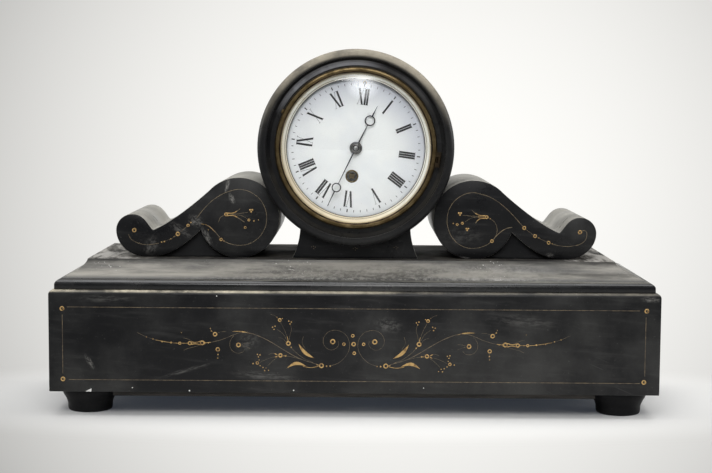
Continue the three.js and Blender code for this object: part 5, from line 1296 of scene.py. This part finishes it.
# %% Dial paint finish
dial_black, tree, shader = new_finish("dial_black")
worn = between(grain(places(tree), 700, 3), 0.5, 0.75)
wire(shader, Base_Color=blend(worn, (0.012, 0.012, 0.014), (0.09, 0.09, 0.1)), Roughness=0.35)
settled(slipped(dial_print), "case", dial_black, "enamel")

# %% [markdown]
# ## Gilt ornament
# The decoration is cut into the stone with a fine point and the grooves are filled with gold paint.
# Seen from a step away it is a drawing of thin lines, so it is modelled as one: curves with a tiny round section,
# rings, dots and small leaves, pressed almost flat against the stone.
# The front panel's left half is drawn once and mirrored. Lines are drawn through points read in millimetres.

# %% Gilding tools
leaf_rise, leaf_root, flatness = 0.14, 0.05, 0.42


def gilt_line(points, thick, face):
    """A thin smooth line through (x, z) points in mm, lying on a face at a depth."""
    clear_selection()
    bpy.ops.curve.primitive_bezier_curve_add(location=(0, 0, 0))
    line = named("line")
    bpy.ops.object.mode_set(mode="EDIT")
    bpy.ops.curve.select_all(action="SELECT")
    bpy.ops.curve.delete(type="VERT")
    for x, z in points:
        bpy.ops.curve.vertex_add(location=at(x, face, z))
    bpy.ops.curve.select_all(action="SELECT")
    bpy.ops.curve.handle_type_set(type="AUTOMATIC")
    leave_edit()
    line.data.dimensions = "3D"
    line.data.bevel_depth = thick / 2 * mm
    line.data.bevel_resolution = 1
    line.data.resolution_u = 6
    line.data.use_fill_caps = True
    return line


def gilt_ring(x, z, radius, thick, face):
    clear_selection()
    bpy.ops.mesh.primitive_torus_add(
        location=at(x, face, z), rotation=(math.pi / 2, 0, 0), major_segments=24, minor_segments=6,
        major_radius=radius * mm, minor_radius=thick / 2 * mm,
    )
    return named("ring")


def gilt_dot(x, z, radius, face):
    clear_selection()
    bpy.ops.mesh.primitive_ico_sphere_add(subdivisions=2, location=at(x, face, z), radius=radius * mm)
    return named("dot")


def gilt_leaf(start, end, width, bow, face):
    """A pointed leaf between two points, bowed to one side, as a share of its length."""
    (x0, z0), (x1, z1) = start, end
    span = math.hypot(x1 - x0, z1 - z0)
    ux, uz = (x1 - x0) / span, (z1 - z0) / span
    left, right = [], []
    for step in range(9):
        t = step / 8
        swell = math.sin(math.pi * t) * width / 2
        offset = bow * span * math.sin(math.pi * t)
        x, z = x0 + ux * span * t - uz * offset, z0 + uz * span * t + ux * offset
        left.append((x - uz * swell, z + ux * swell))
        right.append((x + uz * swell, z - ux * swell))
    return sawn("leaf", left + right[-2:0:-1], face - leaf_rise, face + leaf_root)


def each(tool, drawn, face):
    """Draws every row of a list with one tool."""
    return [tool(*row, face) for row in drawn]


def pressed(name, pieces, face):
    """Makes the lines meshes, joins all and flattens the whole on its face."""
    curves = [piece for piece in pieces if piece.type == "CURVE"]
    meshes = [piece for piece in pieces if piece.type == "MESH"]
    if curves:
        take_up(*curves)
        bpy.ops.object.convert(target="MESH")
    whole = gathered(name, meshes + curves)
    apply_place()
    edit(whole)
    bpy.ops.mesh.remove_doubles(threshold=1e-6)
    bpy.ops.transform.resize(value=(1, flatness, 1), center_override=at(0, face, 0))
    return close_up(whole)


def inlaid(name, pieces, face, finish):
    settled(pressed(name, pieces, face), "case", finish, "sight_gilt")


print("gilding tools ready")

# %% [markdown]
# ## Gold paint
# The gold is powdered bronze in varnish: bright ochre where it is thick, brown where it has rubbed away.
# The thinnest lines have faded most, so they get a duller mixture. The lines on the scrolls lie between the two.


# %% Gold finishes
def gold_finish(name, bright, worn, low, high):
    finish, tree, shader = new_finish(name)
    patches = between(grain(places(tree), 260, 5), low, high)
    wire(shader, Base_Color=blend(patches, bright, worn), Metallic=0.35, Roughness=0.42)
    dent(shader, grain(places(tree), 2500, 2), 0.00004, 0.5)
    return finish


gold_paint = gold_finish("gold_paint", (0.60, 0.39, 0.15), (0.22, 0.13, 0.055), 0.44, 0.70)
faded_gold = gold_finish("faded_gold", (0.26, 0.20, 0.125), (0.10, 0.08, 0.06), 0.35, 0.65)
scroll_gold = gold_finish("scroll_gold", (0.36, 0.28, 0.17), (0.15, 0.12, 0.08), 0.4, 0.7)
print("gold ready")

# %% [markdown]
# ## The front panel
# A thin border frames the panel, with a ring in each corner. Inside, a long sprig runs out to each side:
# a stem with leaves, flowers with berries, small rings, and a tail of dots that shrink as they go.
# Hairlines have faded and rings have kept their gold, so the two are separate pieces with separate finishes.

# %% Front panel ornament
panel = -half_depth
frame_lines = [
    [(-255.7, 98.3), (253.4, 98.3)],
    [(-254.8, 33.0), (254.9, 33.0)],
    [(-260.0, 91.5), (-260.0, 38.5)],
    [(259.0, 92.5), (259.0, 39.5)],
]
border = [gilt_line(ends, 0.5, panel) for ends in frame_lines]
inlaid("gilt_panel_border", border, panel, faded_gold)

corners_at = ((-260.2, 96.8), (-259.9, 33.4), (259.5, 98.1), (258.4, 34.0))
corner_rings = [gilt_ring(x, z, 1.6, 1.0, panel) for x, z in corners_at]
corner_rings += [gilt_dot(x + 0.4, z, 0.35, panel) for x, z in corners_at]
inlaid("gilt_corner_rings", corner_rings, panel, gold_paint)

# the left-hand sprig, drawn from its tail to the middle
lines = [
    ([
        (-193.2, 75.7), (-189.7, 73.9), (-185.0, 71.8), (-179.3, 70.0), (-171.3, 67.9), (-163.2, 66.9),
        (-155.5, 66.4), (-148.4, 66.5),
    ], 0.26),
    ([
        (-134.1, 66.7), (-127.7, 67.5), (-120.6, 69.2), (-114.3, 71.4), (-108.1, 74.1), (-101.9, 76.3),
    ], 0.34),
    ([
        (-101.9, 76.3), (-96.5, 76.4), (-90.3, 75.2), (-84.1, 72.9), (-77.8, 69.9), (-70.7, 65.9),
        (-61.8, 60.4), (-52.9, 55.3), (-43.9, 51.5), (-36.8, 49.4), (-31.4, 47.7),
    ], 0.5),
    ([(-152.6, 71.3), (-148.0, 70.1), (-144.1, 68.3)], 0.24),
    ([(-152.3, 59.8), (-148.7, 61.6), (-142.9, 63.1), (-138.0, 64.7)], 0.24),
    ([(-122.7, 75.6), (-118.8, 76.9), (-114.3, 77.3)], 0.22),
    ([(-124.8, 76.0), (-127.3, 77.6), (-128.4, 80.6)], 0.22),
    ([(-121.7, 59.6), (-121.5, 56.4), (-121.5, 53.0)], 0.22),
    ([
        (-107.2, 73.6), (-109.7, 70.5), (-111.0, 66.0), (-109.9, 61.5), (-107.0, 58.8), (-103.3, 57.8),
        (-99.6, 58.9), (-97.6, 61.2),
    ], 0.26),
    ([(-100.1, 65.7), (-96.5, 66.8), (-93.1, 66.7)], 0.2),
    ([(-100.1, 64.7), (-96.5, 63.6), (-92.8, 62.0)], 0.2),
    ([(-59.0, 69.5), (-60.9, 75.4), (-63.6, 81.6), (-65.8, 85.8)], 0.26),
    ([(-59.8, 69.1), (-63.6, 75.4), (-68.9, 79.6)], 0.24),
    ([(-58.2, 69.5), (-57.2, 75.0), (-56.1, 79.5), (-56.9, 83.5)], 0.24),
    ([(-61.1, 68.4), (-63.6, 71.0), (-67.5, 72.3)], 0.22),
    ([(-57.9, 65.0), (-53.8, 60.5), (-45.7, 53.9), (-36.8, 49.8)], 0.3),
    ([(-74.7, 93.0), (-70.8, 91.6), (-68.4, 89.7)], 0.2),
    ([(-45.4, 73.3), (-46.5, 67.9), (-43.6, 62.0)], 0.24),
    ([(-63.2, 55.6), (-57.3, 55.1), (-50.7, 53.5), (-42.2, 51.0)], 0.26),
    ([(-68.4, 57.0), (-72.5, 58.0), (-76.4, 56.9)], 0.24),
    ([(-68.4, 55.5), (-74.2, 54.0), (-79.9, 51.8), (-84.2, 49.6)], 0.24),
    ([(-68.0, 54.6), (-72.5, 51.3), (-77.4, 46.4)], 0.2),
    ([
        (-21.1, 46.8), (-13.6, 50.0), (-7.8, 55.6), (-4.6, 62.3), (-4.8, 69.5), (-8.4, 75.6),
        (-14.7, 78.8), (-21.3, 78.4), (-26.2, 74.4), (-27.8, 68.8), (-25.8, 63.9), (-21.3, 61.4),
        (-16.9, 62.6), (-14.2, 65.8), (-14.4, 69.4),
    ], 0.26),
]
dots = [
    (-185.0, 71.8, 0.45), (-179.3, 70.0, 0.5), (-171.3, 67.7, 0.6), (-163.2, 66.9, 0.8), (-130.0, 66.8, 0.5),
    (-127.3, 77.6, 0.55), (-128.2, 79.9, 0.4), (-121.5, 56.4, 0.6), (-121.7, 53.3, 0.45), (-154.0, 76.0, 0.35),
    (-56.3, 63.4, 0.6), (-69.0, 90.4, 0.35), (-64.2, 89.2, 0.45), (-72.9, 81.4, 0.6), (-70.7, 82.3, 0.55),
    (-71.6, 79.4, 0.55), (-58.5, 86.9, 0.6), (-56.2, 86.2, 0.55), (-57.4, 84.4, 0.5), (-61.1, 55.6, 0.6),
    (-90.3, 48.5, 0.6), (-84.9, 51.8, 0.45), (-83.9, 46.7, 0.5), (-86.4, 56.8, 0.55), (-84.1, 56.3, 0.55),
    (-85.5, 54.5, 0.5), (-81.4, 45.1, 0.55), (-78.7, 44.6, 0.5), (-79.9, 42.3, 0.6), (-76.4, 42.5, 0.45),
    (-24.7, 46.6, 0.7), (-21.6, 46.7, 0.6),
]
rings = [
    (-155.5, 66.4, 1.0, 0.7), (-146.6, 66.5, 1.4, 0.9), (-135.5, 66.9, 1.6, 1.1), (-124.1, 74.7, 1.5, 1.0),
    (-121.7, 61.1, 1.45, 0.95), (-103.3, 65.2, 1.6, 1.0), (-58.8, 66.9, 1.6, 1.1), (-66.5, 87.9, 1.2, 0.9),
    (-65.9, 56.1, 1.4, 1.1), (-86.4, 49.1, 1.1, 0.8), (-29.3, 47.1, 1.7, 1.1), (-19.3, 68.8, 1.8, 1.1),
    (-9.4, 66.6, 1.1, 0.8),
]
leaves = [
    ((-49.7, 66.6), (-35.7, 53.8), 3.0, -0.10),
    ((-60.0, 44.6), (-42.8, 46.5), 2.9, 0.2),
    ((-68.2, 56.2), (-71.4, 58.0), 0.9, 0),
    ((-68.2, 55.5), (-70.7, 54.4), 0.9, 0),
    ((-109.0, 77.4), (-91.0, 75.2), 0.9, 0.05),
    ((-31.3, 47.5), (-33.8, 48.0), 1.0, 0),
    ((-132.5, 67.3), (-136.6, 68.5), 0.8, 0),
    ((-132.5, 66.4), (-136.6, 64.9), 0.8, 0),
]
bright_lines = [
    ([(-145.3, 67.7), (-141.6, 67.2), (-137.0, 68.3)], 0.75),
    ([(-145.3, 65.4), (-141.6, 66.0), (-137.0, 65.1)], 0.75),
    ([(-177.0, 69.2), (-163.2, 66.9), (-157.0, 66.4)], 0.4),
    ([(-153.5, 66.4), (-148.4, 66.5)], 0.5),
    ([(-134.0, 66.8), (-128.0, 67.4)], 0.55),
    ([(-62.0, 60.6), (-52.9, 55.3), (-43.9, 51.5), (-36.8, 49.4), (-31.4, 47.7)], 0.4),
    ([(-45.7, 46.3), (-38.6, 45.3), (-31.8, 46.6)], 0.5),
    ([(-59.0, 69.0), (-59.8, 73.0)], 0.5),
    ([(-63.2, 55.7), (-61.1, 55.6)], 0.5),
]
sprig_middle = -0.6
stems = each(gilt_line, lines, panel)
flowers = each(gilt_dot, dots, panel) + each(gilt_ring, rings, panel) + each(gilt_leaf, leaves, panel)
flowers += each(gilt_line, bright_lines, panel)
for name, pieces, finish in (("stems", stems, faded_gold), ("flowers", flowers, gold_paint)):
    piece = pressed("gilt_left_" + name, pieces, panel)
    twin = flipped(piece, "gilt_right_" + name)
    take_up(twin)
    bpy.ops.transform.translate(value=at(2 * sprig_middle, 0, 0))
    settled(piece, "case", finish, "sight_gilt")
    settled(twin, "case", finish, "sight_gilt")
middle_rings = [(-1.5, 74.2, 1.15, 0.8), (-0.7, 66.6, 1.5, 1.0), (-0.1, 58.5, 1.15, 0.8)]
inlaid("gilt_centre_rings", each(gilt_ring, middle_rings, panel), panel, gold_paint)

# %% [markdown]
# ## The scroll faces
# Each scroll carries a thin line that follows its outline: round the volute, past a few rings, into the curled head.
# Inside the volute hangs one small flower. The engraver drew the two sides by eye, so each has its own points.
# The cradle under the drum keeps only three faint marks.

# %% Scroll ornament
face = drum_front
scroll_drawing = {
    "left": {
        "lines": [
            ([
                (-145.1, 175.0), (-137.4, 184.4), (-128.8, 192.4), (-114.6, 199.7), (-104.5, 201.2), (-92.3, 196.8),
                (-84.2, 187.7), (-81.1, 175.5), (-84.1, 163.2), (-92.3, 154.0), (-102.4, 150.3), (-112.6, 150.8),
                (-120.8, 153.9),
            ], 0.34),
            ([(-124.2, 157.4), (-128.9, 162.9), (-135.0, 168.0), (-141.1, 169.5)], 0.6),
            ([(-179.8, 151.5), (-190.0, 150.0), (-199.1, 151.7), (-205.2, 155.2), (-207.7, 159.3)], 0.34),
            ([(-153.3, 167.6), (-162.4, 160.1), (-168.8, 155.5), (-177.2, 152.4)], 0.22),
            ([(-108.4, 181.2), (-105.5, 183.5)], 0.4),
            ([(-108.0, 175.8), (-101.4, 171.3)], 0.4),
            ([(-112.5, 178.6), (-105.0, 179.4), (-98.0, 180.4)], 0.24),
            ([(-112.5, 178.2), (-104.0, 177.2), (-98.8, 174.6)], 0.24),
            ([(-120.0, 177.6), (-123.4, 175.4), (-125.2, 171.2)], 0.24),
        ],
        "bright": [
            ([(-117.5, 179.5), (-112.0, 179.6), (-108.4, 181.2)], 1.0),
            ([(-117.5, 177.1), (-112.0, 177.4), (-108.0, 175.8)], 0.9),
            ([(-128.9, 162.9), (-135.0, 168.0), (-141.1, 169.5)], 0.6),
        ],
        "rings": [
            (-202.3, 163.2, 1.5, 1.1), (-162.4, 160.1, 1.5, 1.1), (-153.0, 168.0, 1.0, 0.8), (-122.8, 155.3, 1.1, 0.8),
            (-118.2, 178.3, 1.2, 1.1), (-97.4, 173.3, 0.9, 0.8), (-100.7, 166.4, 0.9, 0.6),
        ],
        "dots": [
            (-150.4, 170.6, 0.6), (-166.0, 157.5, 0.45), (-168.8, 155.5, 0.5), (-174.7, 152.9, 0.8),
            (-177.2, 152.4, 0.6),
            (-96.3, 182.6, 0.9), (-94.3, 182.6, 0.9), (-95.3, 180.8, 0.9), (-92.8, 172.5, 0.8), (-88.6, 173.4, 0.5),
            (-134.4, 164.0, 0.45), (-120.2, 154.0, 0.5),
        ],
    },
    "right": {
        "lines": [
            ([
                (153.0, 169.4), (151.5, 171.0), (139.1, 184.1), (125.8, 194.2), (113.5, 198.7), (105.4, 199.7),
                (95.3, 196.0), (87.3, 187.8), (83.9, 176.6), (85.0, 166.5), (89.7, 157.3), (99.0, 150.2),
                (109.2, 148.8), (119.3, 151.4), (124.2, 154.6),
            ], 0.34),
            ([(126.2, 156.8), (129.3, 160.6), (137.3, 166.8), (143.4, 168.4)], 0.55),
            ([
                (206.6, 165.6), (210.5, 165.3), (211.6, 160.2), (208.7, 155.1), (198.6, 151.4), (188.4, 151.4),
                (178.4, 153.6),
            ], 0.34),
            ([(155.6, 166.8), (164.4, 160.4), (176.0, 154.8)], 0.22),
            ([(121.4, 176.6), (126.6, 173.6), (129.2, 168.8), (129.6, 164.0), (128.3, 159.6)], 0.24),
            ([(109.6, 180.8), (106.6, 183.4)], 0.4),
            ([(111.2, 174.0), (109.8, 171.7)], 0.4),
            ([(114.2, 177.8), (106.0, 178.4), (98.2, 179.0)], 0.24),
            ([(114.2, 177.4), (106.4, 176.6), (100.0, 172.8)], 0.24),
        ],
        "bright": [
            ([(118.6, 178.8), (113.6, 179.0), (109.6, 180.8)], 1.0),
            ([(118.6, 176.2), (114.0, 176.0), (111.2, 174.0)], 0.85),
            ([(118.0, 177.5), (112.0, 177.6)], 0.7),
        ],
        "rings": [
            (205.4, 164.2, 1.4, 1.1), (177.0, 154.3, 1.2, 0.8), (164.4, 160.4, 1.3, 0.9), (154.4, 167.8, 1.3, 0.9),
            (125.1, 155.5, 1.2, 0.9), (119.9, 177.4, 1.2, 1.1), (97.7, 171.6, 0.9, 0.8), (93.1, 170.6, 0.9, 0.7),
        ],
        "dots": [
            (94.5, 181.0, 0.9), (96.5, 181.0, 0.9), (95.5, 179.3, 0.9), (89.5, 171.4, 0.6), (101.4, 166.8, 0.8),
            (103.2, 166.8, 0.8), (102.3, 165.2, 0.8), (168.0, 158.6, 0.45), (123.2, 176.0, 0.6), (180.2, 153.4, 0.5),
        ],
    },
}
for side, drawing in scroll_drawing.items():
    inlaid(f"gilt_{side}_scroll_lines", each(gilt_line, drawing["lines"], face), face, scroll_gold)
    beads = each(gilt_ring, drawing["rings"], face) + each(gilt_dot, drawing["dots"], face)
    inlaid(f"gilt_{side}_scroll_beads", beads + each(gilt_line, drawing["bright"], face), face, gold_paint)
cluster = ((-1.7, 0.3), (0, 0.9), (1.6, 0.2), (0.2, -1.2))
cradle_marks = ((-38.2, 148.7), (0.0, 147.6), (37.4, 148.9))
marks = [gilt_dot(x + across, z + up, 0.42, face) for x, z in cradle_marks for across, up in cluster]
inlaid("gilt_cradle_marks", marks, face, faded_gold)

# %% [markdown]
# ## Small chips
# Old slate loses tiny flakes. A few pale specks on the front are enough to break its evenness.

# %% Chips
specks = ((-122.6, 109.0, 0.5), (-147.0, 23.6, 0.7), (-54.0, 24.6, 0.6), (-198.0, 26.0, 0.5), (62.0, 27.5, 0.45))
settled(pressed("tiny_chips", each(gilt_dot, specks, panel), panel), "case", chip_stone, "slate")
